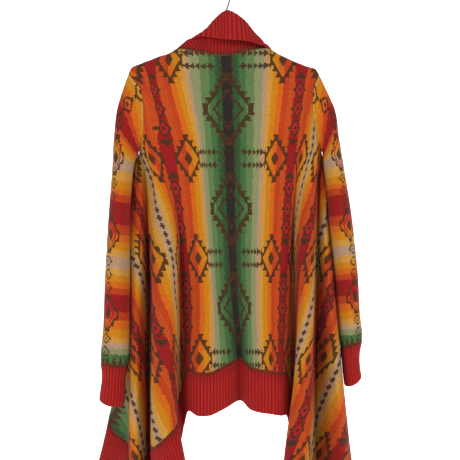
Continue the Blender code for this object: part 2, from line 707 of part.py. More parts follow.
def hanger_arms(material):
    """The hanger's wooden arms: one bar, bent at the neck, with rounded tips."""
    half = np.concatenate([[0, 12, 24, 40, 60, 80], np.linspace(105, HANGER_TIP - 14, 4)])
    half = np.concatenate([half, [HANGER_TIP - 6, HANGER_TIP]])
    places = np.concatenate([-half[:0:-1], half])
    sides = 8
    verts = []
    for x in places:
        top = arm_height(x)
        if abs(x) < 60:
            low = arm_height(math.copysign(60, x))
            top = NECK_WOOD + (low - NECK_WOOD) * (abs(x) / 60) ** 1.6
        end = min(1.0, (HANGER_TIP - abs(x)) / 14 + 0.45)
        deep, thick = HANGER_DEEP * end, HANGER_THICK * (0.6 + 0.4 * end)
        for k in range(sides):
            a = 2 * math.pi * (k + 0.5) / sides
            across = math.copysign(abs(math.cos(a)) ** 0.6, math.cos(a)) * thick / 2
            up = math.copysign(abs(math.sin(a)) ** 0.6, math.sin(a)) * deep / 2
            verts.append((x, across, top - HANGER_DEEP / 2 + up))
    return tube("hanger_arms", np.array(verts).reshape(len(places), sides, 3), material)


def tube(name, rings, material):
    """A solid bar through its rings, closed by flat ends."""
    count, sides = rings.shape[:2]
    faces = [tuple(range(sides)), tuple((count - 1) * sides + k for k in range(sides))]
    for i in range(count - 1):
        for k in range(sides):
            m = (k + 1) % sides
            faces.append((i * sides + k, i * sides + m, (i + 1) * sides + m, (i + 1) * sides + k))
    return solid(name, rings.reshape(-1, 3) * MM, faces, material)


def hook_line():
    """The middle of the hook's wire, from the wood up and round the crook."""
    radius = HOOK_RADIUS + WIRE / 2
    centre = -HOOK_RADIUS
    line = [(0.0, NECK_WOOD + 0.3), (0.0, HOOK_BEND - 12), (0.0, HOOK_BEND)]
    touch = -HOOK_LEAN
    tangent = (radius * math.cos(touch), centre + radius * math.sin(touch))
    for share in (0.15, 0.5, 0.85):
        line.append((tangent[0] * share, HOOK_BEND + (tangent[1] - HOOK_BEND) * share))
    steps = 16
    for k in range(steps + 1):
        a = touch + (HOOK_END - touch) * k / steps
        line.append((radius * math.cos(a), centre + radius * math.sin(a)))
    return line


def hanger_hook(material):
    """The wire hook, one bent rod with a rounded end."""
    line = np.array([(x, 0.0, z) for x, z in hook_line()])
    along = unit(np.gradient(line, axis=0))
    side = np.cross(along, (0.0, 1.0, 0.0))
    radius = np.full(len(line), WIRE / 2)
    line[-1] += along[-1] * 0.8
    radius[-1] = WIRE / 2 * 0.55
    sides = 7
    turn = 2 * math.pi * np.arange(sides) / sides
    rings = (
        line[:, None]
        + side[:, None] * np.cos(turn)[None, :, None] * radius[:, None, None]
        + np.array([0.0, 1.0, 0.0]) * np.sin(turn)[None, :, None] * radius[:, None, None]
    )
    return tube("hanger_hook", rings, material)


def main():
    for old in list(bpy.data.objects):
        bpy.data.objects.remove(old)
    knit = colour_of("knit", (0.55, 0.2, 0.05), 0.9)
    ribbing = colour_of("ribbing", (0.42, 0.02, 0.02), 0.9)
    wood = colour_of("wood", (0.45, 0.28, 0.15), 0.5)
    metal = colour_of("hook_metal", (0.45, 0.33, 0.2), 0.35, 1.0)
    pieces = [
        panel("back", "left_side", "right_side", knit),
        panel("front_left", "left_neckline", "left_side", knit),
        panel("front_right", "right_side", "right_neckline", knit),
        border_piece("hem_back", "left_side", "right_side", ribbing),
        border_piece("band_left", "left_break", "left_side", ribbing),
        border_piece("band_right", "right_side", "right_break", ribbing),
        sheet("collar", collar_grid(2), ribbing, ribs=2, side=-1),
    ]
    for side in ("left", "right"):
        pieces += [sleeve(side, knit), cuff(side, ribbing)]
    mitre(pieces)
    for piece in pieces:
        thicken(piece)
    hanger_arms(wood)
    hanger_hook(metal)


main()
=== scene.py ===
"""Looks of a knit wrap with long sleeves and draped fronts, hung open on a wooden hanger.

Each cloth piece is a thin shell on the same surface as its solid, with finer folds, real ribs and a
patterned knit. +Z is up, the back of the garment faces -Y, and the origin is under the crown of the
hook. Tables are in millimetres.
"""

import math

import bpy
import numpy as np
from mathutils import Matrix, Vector, kdtree


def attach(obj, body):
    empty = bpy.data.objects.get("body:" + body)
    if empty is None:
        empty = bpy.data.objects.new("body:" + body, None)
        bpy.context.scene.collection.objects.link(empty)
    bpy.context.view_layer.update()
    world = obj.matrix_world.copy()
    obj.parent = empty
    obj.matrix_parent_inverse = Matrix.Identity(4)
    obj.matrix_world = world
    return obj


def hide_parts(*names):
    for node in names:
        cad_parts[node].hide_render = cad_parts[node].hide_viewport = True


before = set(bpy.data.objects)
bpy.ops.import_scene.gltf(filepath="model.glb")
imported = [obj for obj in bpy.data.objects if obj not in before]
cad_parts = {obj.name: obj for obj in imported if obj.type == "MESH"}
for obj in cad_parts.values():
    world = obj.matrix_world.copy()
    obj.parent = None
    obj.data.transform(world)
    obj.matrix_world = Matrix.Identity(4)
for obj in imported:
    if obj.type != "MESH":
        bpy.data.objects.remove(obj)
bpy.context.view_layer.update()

MM = 0.001
PHOTO_WIDE, PIXEL = 460, 2.15  # the photo's width in pixels, and the size of one
CAMERA_AWAY = 2.6  # metres
WHITE = (1, 1, 1, 1)

# Cloth
CLOTH = 2.4  # thickness of the knit
RIB_PITCH = 7.2  # from one rib to the next
RIB_RISE = 1.3  # how far a rib stands out of the ribbing
RIB_GROUND = 1.8  # thickness of the ribbing between two ribs
RIB_STEPS = 6  # columns to a rib
RIB_ROUND = 2.6  # how full a rib's section is
RIB_BACK = 0.8  # how far the ribs stand out inside, as a share
RIB_STITCH = 1.9
BORDER = 88.0  # width of the hem and the front bands
SEAM = -0.15  # half the distance between two sewn edges: they overlap in the tuck
TUCK = 3.2  # how far from a seam or an edge the cloth rounds over
TUCKED = 0.22  # share of the thickness that is left at a seam
REACH = 3.0  # rims closer than this belong to one seam
HANG = 0.45  # share of the border's direction that comes from its own weight
STITCH_WIDE = 2.6
STITCH_TALL = 2.15
PANEL_DROP = 660.0  # how long a panel is, for the spacing of its rows
WAVES = 0.45  # how far the cloth waves in and out all over
CREASE_END = 0.35  # share of a crease over which it fades at each end
CALM = 25.0  # creases fade this near to a seam

# Levels of the body, from the hook down
UNDERARM, WAIST, HIP, THIGH = -400.0, -560.0, -720.0, -880.0
LEVELS = (UNDERARM, WAIST, HIP, THIGH)

# Rounding of the cloth over the hanger: (drop below the shoulder line, distance from it)
OVER_HANGER = ((3.0, 7.5), (13.0, 12.5))
HANGER_TIP = 190.0
SHOULDER_DEEP = 3  # folds that start farther from y = 0 than this don't lie over the hanger
NECK_SIDE = 85  # nor do those that start nearer the middle than this

# The folds of the body, in order round it from the left front edge, across the back, to the right
# front edge. Each runs down from its top to the border's seam. Columns: name, top x y z, then x y
# at the underarm, waist, hip and thigh levels (None above the top or below the seam), and seam x y z.
N = None
FOLDS = (
    ("left_neckline", -106, 1, -187.5, N, N, N, N, N, N, N, N, -116, 40, -318),
    ("left_break", -126, 1, -197.5, -131, 42, N, N, N, N, N, N, -146, 72, -533),
    ("left_front_mid", -149, 1, -206, -143, 40, -150, 64, N, N, N, N, -185, 96, -727),
    ("left_front_low", -180, 1, -217, -156, 36, -168, 60, -188, 88, N, N, -228, 108, -888),
    ("left_point", -207, 1, -235, -163, 35, -200, 52, -212, 69, -236, 82, -260, 90, -1003),
    ("left_turn", -183, 14, -288, -168, 31, -197, 30, -201, 36, -207, 40, -214, 42, -1044),
    ("drape_outer", -177, 17, -334, -172, 27, -203, -2, -203, -6, -204, -6, -207, -4, -1076),
    ("drape_crest", -178, 16, -370, -176, 21, -188, -13, -189, -19, -191, -23, -191, -23, -1092),
    ("drape_inner", -182, 10, -392, N, N, -178, -3, -176, -3, -176, 0, -176, 6, -1072),
    ("left_side", -185, 2, -402, N, N, -170, 13, -169, 36, -169, 40, -168, 38, -1056),
    ("left_ridge_a", -183, -6, -394, N, N, -161, -8, -159, 2, -160, 4, -160, 6, -1050),
    ("left_ridge_b", -180, -12, -380, -177, -17, -151, -27, -155, -30, -157, -31, -158, -30, -1043),
    ("left_ridge_c", -177.5, -15, -362, -170, -20, -135, -38, -140, -52, -142, -56, -143, -57, -1030),
    ("left_ridge_d", -176, -16, -335, -162, -22, -120, -40, -118, -55, -118, -60, -119, -62, -1007),
    ("left_ridge_e", -177.5, -15.5, -304, -153, -23, -111, -33, -107, -42, -105, -45, -104, -46, -988),
    ("left_flute_in", -185, -13, -270, -143, -24, -106, -26, -103, -20, -103, -18, -106, -14, -955),
    ("left_flute", -207, -1, -235, -133, -24, -102, -21, -98, 0, -97, 2, -96, 2, -915),
    ("left_flute_out", -160, -1, -210.5, -119, -24, -96, -23, -83, -18, N, N, -84, -20, -878),
    ("back_gold_left", -122, -1, -197, -83, -24, -67, -30, -53, -37, N, N, -58, -43, -881),
    ("left_neck", -100, -3, -186, -62, -24, -48, -32, -34, -40, N, N, -33, -46, -879.5),
    ("back_green_left", -52, -14, -193.5, -38, -23, -27, -31, -16, -37, N, N, -4, -40, -866.5),
    ("spine", 0, -22, -199.5, 7, -22, 12, -26, 19, -25, N, N, 31, -12, -853),
    ("back_green_right", 52, -16, -189, 52, -23, 49, -31, 49, -36, N, N, 53, -38, -868.5),
    ("right_neck", 86, -3, -184, 77, -24, 71, -33, 67, -40, N, N, 71, -44, -873.5),
    ("back_gold_right", 112, -1, -198, 97, -24, 91, -33, 87, -42, N, N, 90, -46, -876),
    ("back_red_right", 155, -1, -218, 139, -24, 126, -28, 119, -35, N, N, 116, -40, -881),
    ("right_flute_out", 196, -1, -236, 152, -24, 139, -20, 135, -20, N, N, 131, -22, -886),
    ("right_flute", 187, -13, -272, 162, -24, 146, -8, 143, 2, 142, 3, 141, 3, -945),
    ("right_flute_in", 185, -16, -306, 172, -23, 154, -24, 152, -19, 152, -16, 152, -13, -1006),
    ("right_ridge_a", 187, -16, -336, 181, -22, 162, -41, 157, -48, 146, -46, 122, -44, -1074),
    ("right_ridge_b", 192, -15, -362, 189, -20, 174, -48, 168, -60, 155, -62, 139, -66, -1094),
    ("right_ridge_c", 197, -12, -383, 195, -16, 186, -37, 183, -43, 176, -54, 168, -58, -1108),
    ("right_ridge_d", 202, -6, -397, N, N, 192, -12, 188, -12, 185, -14, 182, -14, -1114),
    ("right_side", 205, 2, -405, N, N, 199, 4, 197, 16, 195, 20, 195, 20, -1120),
    ("fall_inner", 202, 10, -395, N, N, 202, -10, 210, -12, 217, -12, 225, -12, -1140),
    ("fall_crest", 196, 16, -373, 194, 21, 212, -20, 221, -34, 234, -40, 251, -42, -1174),
    ("fall_outer", 189, 17, -338, 187, 27, 218, -8, 233, -16, 247, -16, 275, -14, -1157),
    ("right_turn", 187, 14, -290, 182, 31, 211, 24, 228, 28, 243, 34, 270, 36, -1122),
    ("right_point", 196, 1, -236, 176, 35, 204, 48, 221, 66, 236, 78, 256, 84, -1060),
    ("right_front_low", 172, 1, -224, 166, 37, 184, 60, 200, 88, 205, 103, 198, 107, -920),
    ("right_front_mid", 138, 1, -210, 148, 40, 156, 64, N, N, N, N, 160, 95, -737),
    ("right_break", 110, 1, -197, 124, 42, N, N, N, N, N, N, 127, 72, -538),
    ("right_neckline", 92, 1, -187.5, N, N, N, N, N, N, N, N, 101, 40, -322),
)

# More places that folds pass through, where the shoulders run into the armholes and the side seams
# sink between two ridges. By fold: z x y.
GUIDES = {
    "left_front_low": ((-288, -163, 28),),
    "left_point": ((-262, -187, 17), (-288, -173, 23), (-455, -186, 43)),
    "left_turn": ((-334, -171, 25), (-425, -185, 32), (-455, -192, 31), (-500, -194, 30)),
    "drape_outer": ((-370, -173, 23), (-425, -194.5, 20), (-455, -199.5, 11), (-500, -201.5, 5)),
    "drape_crest": ((-425, -192.5, 12), (-455, -195, 1), (-500, -193, -6)),
    "drape_inner": ((-425, -188, 3), (-455, -186, -7)),
    "left_side": ((-425, -179, -2), (-455, -174, 1)),
    "left_ridge_a": ((-425, -174, -10), (-455, -165, -11)),
    "left_ridge_b": ((-425, -167, -20), (-455, -157, -25)),
    "left_flute_in": ((-304, -169, -18),),
    "left_flute": ((-262, -178, -16), (-304, -158, -20)),
    "right_flute_out": ((-262, 180, -16), (-304, 169, -20)),
    "right_flute": ((-304, 176, -19),),
    "right_flute_in": ((-336, 179, -20),),
    "right_ridge_c": ((-430, 194, -22), (-460, 191, -27)),
    "right_ridge_d": ((-430, 198, -12), (-460, 194, -14)),
    "right_side": ((-430, 203, -4), (-460, 200, -3)),
    "fall_inner": ((-430, 208, 5), (-460, 206, -6)),
    "fall_crest": ((-430, 206, 15), (-460, 212, 3)),
    "fall_outer": ((-373, 186, 25), (-430, 194, 25), (-460, 205, 18)),
    "right_turn": ((-338, 181, 26),),
    "right_point": ((-262, 184, 17), (-290, 177, 23)),
    "right_front_low": ((-290, 167, 28),),
}

# Where folds guide the border: its run along x and y at its free edge, as shares of its width.
LEANS = {
    "left_point": (-0.24, 0.05), "left_turn": (-0.6, 0.1), "drape_outer": (-0.28, -0.02),
    "drape_crest": (-0.08, -0.12), "drape_inner": (-0.03, 0.02), "left_side": (0.02, 0.06),
    "left_ridge_a": (0.08, 0.0), "left_ridge_b": (0.13, -0.07), "left_ridge_c": (0.3, -0.12),
    "left_ridge_d": (0.33, -0.16), "left_ridge_e": (0.22, -0.08), "left_flute_in": (0.08, 0.0),
    "left_flute": (0.05, 0.04), "left_flute_out": (0.01, 0.0), "back_gold_left": (0.0, -0.04),
    "left_neck": (0.0, -0.04), "back_green_left": (0.0, -0.04), "spine": (0.0, 0.0),
    "back_green_right": (0.0, -0.04), "right_neck": (0.0, -0.04), "back_gold_right": (0.0, -0.04),
    "back_red_right": (0.0, -0.03), "right_flute_out": (0.0, 0.0), "right_flute": (0.0, 0.03),
    "right_flute_in": (0.0, 0.0), "right_ridge_a": (-0.08, -0.04), "right_ridge_b": (-0.06, -0.1),
    "right_ridge_c": (0.0, -0.12), "right_ridge_d": (0.02, 0.0), "right_side": (0.04, 0.06),
    "fall_inner": (0.05, 0.0), "fall_crest": (0.08, -0.12), "fall_outer": (0.12, 0.0),
}

# The collar's stations from the left front band round the neck to the right one. Columns: name, fold
# x y z, where the ribbing turns over, and free edge x y z. At the breaks, beyond both ends, it lies flat.
COLLAR = (
    ("left_chest", -86, 70, -415, -130, 86, -440),
    ("left_collarbone", -66, 56, -300, -126, 74, -340),
    ("left_neck_front", -70, 34, -206, -132, 56, -258),
    ("left_shoulder", -82, 14, -166, -106, 36, -196),
    ("back_left", -51, -2, -156.5, -60, -8, -162),
    ("back_peak_left", -25, -9, -125, -20, -34, -169),
    ("back_peak", 2, -9, -106, 4, -39, -172),
    ("back_peak_right", 31, -9, -123.5, 44, -37, -175),
    ("back_right", 58, -6, -155, 68, -27, -180),
    ("right_shoulder", 75, 4, -172, 88, -15, -184.5),
    ("right_over", 75, 13, -177, 97, 5, -187.2),
    ("right_neck_front", 60, 34, -208, 118, 52, -262),
    ("right_collarbone", 52, 56, -306, 112, 74, -346),
    ("right_chest", 72, 70, -424, 116, 86, -450),
)
NECK_X = (-53, -27, 0, 29, 57)  # where the five stations of the back neck stand on the seam
# Where the others stand on it: which of its runs, and how many points along
SEAM_MARKS = {
    "left_break": (0, 0), "left_chest": (0, 20), "left_collarbone": (1, 3), "left_neck_front": (1, 34),
    "left_shoulder": (2, 0), "right_shoulder": (3, -1), "right_over": (3, 1), "right_neck_front": (3, 27),
    "right_collarbone": (4, -4), "right_chest": (4, 20), "right_break": (5, -1),
}
COLLAR_BOW = 5.0  # how far the fall bows away from the stand
FOLD_HALF = 3.0  # half the thickness of the fold's turn
TURN_DROP = 0.6  # how far below the fold the turn starts and ends, as a share of that
FLAT_TURN = 0.6  # a weaker turn than this lies flat
COLLAR_STEPS = (7, 4, 5, 5)  # rows between the seam, the two sides of the turn, the fall and the edge
STAND_REACH = 30.0  # how far down from the turn the stand starts to lean into it

# The sleeves' rings from the armhole down, and the cuffs' from there on. Columns: name, outer x z,
# inner x z, back y, front y.
SLEEVES = {
    "left": (
        ("cap", -230, -306, -189, -408, -29, 31),
        ("underarm", -238, -362, -198.5, -428, -37, 40),
        ("upper_arm", -243, -440, -205.5, -482, -41, 46),
        ("above_elbow", -250, -533, -208, -548, -44, 54),
        ("elbow", -258, -651, -208.2, -651, -44, 57),
        ("forearm", -263, -780, -208.5, -780, -37, 50),
        ("cuff_seam", -268, -861, -212.5, -869, -29, 40),
    ),
    "right": (
        ("cap", 229, -311, 210, -411, -29, 31),
        ("underarm", 239, -365, 211.5, -432, -37, 40),
        ("upper_arm", 252, -440, 217.7, -482, -41, 46),
        ("above_elbow", 267, -533, 221, -548, -44, 54),
        ("elbow", 281, -655, 232, -655, -42, 57),
        ("forearm", 287, -752, 240.7, -752, -37, 50),
        ("cuff_seam", 291, -812, 248, -829, -30, 40),
    ),
}
CUFFS = {
    "left": (
        ("narrow", -265, -888, -218, -892, -25, 35),
        ("wide", -269, -925, -219, -925, -26, 36),
        ("end", -271, -941, -221, -951, -25, 35),
    ),
    "right": (
        ("narrow", 286, -840, 251, -854, -25, 35),
        ("wide", 286, -868, 253.5, -882, -25, 35),
        ("end", 290, -892, 257, -910, -24, 34),
    ),
}
CUFF_SAG = {"left": 6.0, "right": 5.0}  # how far a cuff's edge hangs lower in its middle
SLEEVE_SHOULDERS = {
    "left": ("left_point", "left_flute"),
    "right": ("right_flute_out", "right_point"),
}

# Hanger
HANGER_THICK = 10.0
HANGER_DEEP = 20.0
TIP_LONG = 14  # the rounded part of each arm
NECK_BEND = 60  # the arms rise to the neck from here
ARM_SLOPE = 0.40
ARM_TILT = 0.03  # the hanger hangs a little lower on the right
ARM_AT_100 = -194.8
WIRE = 3.8
HOOK_RADIUS = 22.0  # inside the crook
HOOK_BEND = -108.0  # where the straight stem leans over
HOOK_LEAN = math.radians(16.6)
HOOK_END = math.radians(198.0)
NECK_WOOD = -156.0

# How far the cloth's own measure is from the spine along each fold: the stripes and motifs follow it.
# By fold: measure at its top, then at MEASURE_DOWN below the hook. One value holds all the way down.
MEASURE_DOWN = (400, 560, 720, 880, 1100)
MEASURES = {
    "left_neckline": (-740, -750, -795, -840, -880, -940),
    "left_break": (-700, -700, -750, -800, -850, -900),
    "left_front_mid": (-650, -650, -705, -765, -830, -890),
    "left_front_low": (-590, -590, -650, -715, -800, -880),
    "left_point": (-520, -520, -590, -660, -760, -860),
    "left_turn": (-400, -400, -480, -570, -700, -845),
    "drape_outer": (-270, -270, -372, -470, -565, -660),
    "drape_crest": (-262, -262, -356, -452, -548, -640),
    "drape_inner": (-255, -255, -330, -425, -510, -600),
    "left_side": (-245, -245, -290, -360, -430, -520),
    "left_ridge_a": (-236, -236, -275, -335, -405, -495),
    "left_ridge_b": (-226, -226, -258, -315, -382, -470),
    "left_ridge_c": (-208, -208, -246, -297, -362, -450),
    "left_ridge_d": (-195, -195, -229, -278, -343, -430),
    "left_ridge_e": (-186, -186, -215, -245, -305, -390),
    "left_flute_in": (-185, -176, -188, -215, -262, -340),
    "left_flute": (-207, -168, -172, -185, -205, -230),
    "left_flute_out": (-160, -160, -162, -164, -166, -168),
    "back_gold_left": (-122,),
    "left_neck": (-100,),
    "back_green_left": (-52,),
    "spine": (0,),
    "back_green_right": (52,),
    "right_neck": (86,),
    "back_gold_right": (112,),
    "back_red_right": (155, 160, 160, 162, 164, 166),
    "right_flute_out": (196, 178, 182, 190, 205, 225),
    "right_flute": (190, 200, 225, 262, 315, 390),
    "right_flute_in": (205, 218, 272, 330, 385, 460),
    "right_ridge_a": (240, 240, 305, 368, 430, 515),
    "right_ridge_b": (258, 258, 322, 384, 447, 535),
    "right_ridge_c": (272, 272, 343, 412, 480, 572),
    "right_ridge_d": (294, 294, 368, 440, 512, 612),
    "right_side": (306, 306, 380, 455, 530, 634),
    "fall_inner": (320, 320, 400, 482, 564, 676),
    "fall_crest": (330, 330, 415, 500, 585, 700),
    "fall_outer": (345, 345, 430, 515, 602, 720),
    "right_turn": (440, 440, 520, 600, 680, 790),
    "right_point": (530, 530, 600, 675, 750, 850),
    "right_front_low": (610, 610, 670, 740, 810, 880),
    "right_front_mid": (680, 680, 735, 795, 850, 900),
    "right_break": (740, 740, 790, 840, 880, 920),
    "right_neckline": (780, 780, 830, 870, 900, 940),
}

# Creases pressed into the cloth. By piece: start s t, end s t on the cloth, width, depth (negative
# stands out).
CREASES = {
    "sleeve_left": (
        (0, -15, 0, 85, 32, -2.5), (95, -300, 95, 900, 15, -1.8), (-95, -300, -95, 900, 15, -1.8),
        (-52, 30, -30, 150, 9, 2.6), (-70, 95, -20, 205, 11, 2.2), (-60, 250, 8, 320, 12, 2.4),
        (-20, 300, -68, 372, 11, -2.0), (-74, 380, -14, 450, 12, 2.2), (-40, 470, -66, 545, 9, 1.8),
        (66, 60, 24, 190, 12, 2.4), (20, 230, 72, 330, 10, -1.8), (76, 350, 30, 470, 12, 2.2),
        (95, 56, 95, 78, 14, -2.2), (-95, 56, -95, 78, 14, -2.2),
    ),
    "sleeve_right": (
        (0, -15, 0, 85, 32, -4.0), (95, 44, 95, 60, 12, -1.2), (-95, 44, -95, 60, 12, -1.2),
        (95, -300, 95, 900, 15, -2.0), (-95, -300, -95, 900, 15, -2.0), (48, 40, 34, 160, 9, 2.6),
        (74, 110, 22, 220, 11, 2.2), (62, 260, 2, 330, 12, 2.4), (16, 320, 66, 380, 11, -2.0),
        (72, 390, 18, 450, 12, 2.0), (46, 90, 38, 300, 6, 2.4), (38, 300, 33, 545, 5, 2.6),
        (-60, 70, -22, 205, 11, 2.4), (-24, 260, -74, 340, 10, 2.0), (-70, 380, -30, 480, 12, -1.8),
    ),
    "back": (
        (-150, 262, -92, 420, 14, 2.2), (152, 262, 112, 430, 14, 2.4), (-120, 520, -70, 690, 15, 1.8),
        (60, 420, 74, 700, 16, 1.6), (-30, 560, -44, 830, 15, 1.7), (132, 560, 108, 800, 13, 1.8),
    ),
}

# The stripes of the knit, mirrored about the spine and again about the red. Columns: distance from
# the spine where the stripe starts, colour.
STRIPES = (
    (0, "charcoal"), (12, "pine"), (27, "green"), (42, "leaf"), (60, "sage"), (79, "clay"),
    (88, "tan"), (101, "amber"), (113, "orange"), (124.5, "rust"), (136, "flame"), (149.5, "brick"),
)
RED_LINE = 163.0  # from the spine to the middle of the red
CLAY_LINE = 84.0  # from there to where the stripes turn back, three times on each side
TURNS = 6
GOLD_LINE = 122.0  # from the spine to the middle of the gold stripes
DITHER = 3.0  # how far the stitches of two stripes mix
BODY_REPEAT, SLEEVE_REPEAT = 212.0, 164.0  # from one figure to the next down the cloth
TOOTH = 12.9  # from one tooth of a figure to the next
FIGURED = ("green", "tan", "flame")  # stripes knitted in two shades, row by row

# The stripes of the sleeves, from the armhole to the cuff. Columns: place on the left sleeve, colour.
SLEEVE_STRIPES = (
    (0, "tan"), (5, "amber"), (16, "orange"), (30, "rust"), (40, "brick"), (66, "flame"),
    (74, "orange"), (86, "amber"), (99, "tan"), (112, "clay"), (138, "tan"), (158, "amber"),
    (176, "orange"), (188, "rust"), (203, "brick"), (249, "rust"), (271, "orange"), (287, "amber"),
    (303, "tan"), (320, "clay"), (343, "tan"), (358, "amber"), (371, "orange"), (384, "rust"),
    (398, "brick"), (433, "rust"), (452, "orange"), (470, "amber"), (487, "tan"), (500, "clay"),
    (511, "sage"), (524, "green"),
)
SLEEVE_LENGTH = 554.0

COLOURS = {
    "charcoal": (42, 36, 30), "pine": (46, 84, 48), "green": (72, 110, 62), "leaf": (98, 124, 74),
    "sage": (140, 142, 98), "clay": (178, 144, 114), "tan": (208, 150, 64), "amber": (202, 126, 12),
    "orange": (208, 100, 18), "flame": (198, 76, 24), "rust": (186, 62, 20), "brick": (150, 24, 22),
    # the ribbing's darker and lighter reds are painted shade for its grooves and a painted highlight for
    # its ribs
    "brown": (72, 44, 24), "trim": (118, 46, 24), "scarlet": (176, 28, 30), "rib": (176, 30, 26),
    "rib_painted_shade": (104, 8, 9), "rib_painted_highlight": (188, 42, 36), "on": (255, 255, 255), "off": (0, 0, 0),
}
DEPTH = 0.66  # how dark the dyed yarns are beside the white of the studio


def linear(name):
    """One of the colours, as a shader takes it."""
    depth = 1.0 if name in ("on", "off") else DEPTH
    return tuple(((c / 255 + 0.055) / 1.055) ** 2.4 * depth for c in COLOURS[name]) + (1.0,)


def unit(vectors):
    """Each row at length 1."""
    return vectors / np.maximum(np.linalg.norm(vectors, axis=-1, keepdims=True), 1e-12)


def cubic(t, start, leave, end, arrive):
    """Share t of the way along a curve that leaves its start and arrives at its end at those speeds."""
    t2, t3 = t * t, t * t * t
    ways = (2 * t3 - 3 * t2 + 1) * start + (t3 - 2 * t2 + t) * leave
    return ways + (3 * t2 - 2 * t3) * end + (t3 - t2) * arrive


def hermite(knots, values, at):
    """A smooth curve through values at rising knots, read at the places in at."""
    knots, values = np.asarray(knots, float), np.asarray(values, float)
    step = np.diff(knots).reshape(-1, *[1] * (values.ndim - 1))
    slope = np.diff(values, axis=0) / step
    tangent = np.concatenate([slope[:1], slope])
    if len(knots) > 2:
        before, after = step[:-1], step[1:]
        tangent[1:-1] = (slope[:-1] * after + slope[1:] * before) / (before + after)
    i = np.clip(np.searchsorted(knots, at, side="right") - 1, 0, len(knots) - 2)
    wide = step[i]
    t = ((np.asarray(at, float) - knots[i]) / (knots[i + 1] - knots[i])).reshape(wide.shape)
    return cubic(t, values[i], wide * tangent[i], values[i + 1], wide * tangent[i + 1])


def fold_line(fold):
    """A fold's own places: heights from low to high, and x and y there."""
    name, x0, y0, z0, *rest = fold
    xs, ys, zs = rest[-3:]
    line = [(z0, x0, y0), (zs, xs, ys), *GUIDES.get(name, ())]
    if abs(y0) <= SHOULDER_DEEP and NECK_SIDE < abs(x0) < HANGER_TIP and z0 > UNDERARM:
        line += [(z0 - drop, x0, math.copysign(out, y0)) for drop, out in OVER_HANGER]
    for level, x, y in zip(LEVELS, rest[0:8:2], rest[1:8:2], strict=True):
        if x is not None and zs < level < z0:
            line.append((level, x, y))
    return np.array(sorted(line), float)


GIRTH_SHARES = (0.35, 0.6, 0.85, 1.0)  # where on their way down the folds' distances are measured
FOLD_LEAST = 4.0  # added to each, so that folds which lie together still have places apart
LINES = [fold_line(fold) for fold in FOLDS]
NAMES = [fold[0] for fold in FOLDS]


def folds_at(share):
    """Where every fold is, at that share of its way down from its top to the border's seam."""
    points = []
    for line in LINES:
        top, seam = line[-1, 0], line[0, 0]
        z = top + (seam - top) * share
        x, y = hermite(line[:, 0], line[:, 1:], np.array([z]))[0]
        points.append((x, y, z))
    return np.array(points)


def girth():
    """A running measure round the body, one value for each fold, from its own cloth's widths."""
    widths = [np.linalg.norm(np.diff(folds_at(share)[:, :2], axis=0), axis=1) for share in GIRTH_SHARES]
    return np.concatenate([[0.0], np.cumsum(np.mean(widths, axis=0) + FOLD_LEAST)])


GIRTH = girth()
AT = dict(zip(NAMES, GIRTH, strict=True))


def body(u, shares):
    """The body's middle surface: points for each place u round it and each share of the way down."""
    return np.stack([hermite(GIRTH, folds_at(share), u) for share in shares], axis=1)


def border_directions():
    """Which way the border runs from the seam at each fold, square to the seam and sagging a little."""
    seam, above = folds_at(1.0), folds_at(0.93)
    down = unit(seam - above)
    along = unit(np.gradient(seam, GIRTH, axis=0))
    out = unit(down - (down * along).sum(1, keepdims=True) * along)
    ways = unit(out * (1 - HANG) + np.array([0, 0, -1.0]) * HANG)
    for name, (x, y) in LEANS.items():
        ways[NAMES.index(name)] = (x, y, -math.sqrt(1 - x * x - y * y))
    return ways


DIRECTIONS = border_directions()


def border(u, shares):
    """The border's middle surface, from the body's seam to its free edge."""
    seam = body(u, (1.0,))[:, 0]
    way = unit(hermite(GIRTH, DIRECTIONS, u)) * BORDER
    return np.stack([seam + way * share for share in shares], axis=1)


def running(points):
    """The distance run along a row of points, from its start."""
    return np.concatenate([[0.0], np.cumsum(np.linalg.norm(np.diff(points, axis=0), axis=1))])


def evenly(first, last, length, step):
    """Places from first to last about a step apart on a run of that length, closer at both ends."""
    count = max(2, round(length / step))
    inner = np.linspace(0, 1, count + 1)[1:-1]
    near = np.array([0.0, 0.5, 1.3, 2.4, 4.0]) / length
    shares = np.concatenate([near, inner[(inner > near[-1]) & (inner < 1 - near[-1])], 1 - near[::-1]])
    return first + (last - first) * shares


def tangents(grid, axis, closed=False):
    """The grid's direction along an axis at every point, whatever the spacing."""
    grid = np.moveaxis(grid, axis, 0)
    if closed:
        ahead = unit(np.roll(grid, -1, axis=0) - grid)
        behind = np.roll(ahead, 1, axis=0)
    else:
        step = unit(np.diff(grid, axis=0))
        ahead = np.concatenate([step, step[-1:]])
        behind = np.concatenate([step[:1], step])
    return np.moveaxis(unit(ahead + behind), 0, axis)


def normals_of(grid, closed=False):
    """Unit normals of a grid whose columns run round the body and whose rows run down."""
    return unit(np.cross(tangents(grid, 1), tangents(grid, 0, closed)))


def rims(grid, closed):
    """Index pairs of a grid's four sides, or of its two ends if it is closed."""
    columns, rows = grid.shape[:2]
    ends = [(np.arange(columns), np.full(columns, row)) for row in (0, rows - 1)]
    if closed:
        return ends
    return ends + [(np.full(rows, column), np.arange(rows)) for column in (0, columns - 1)]


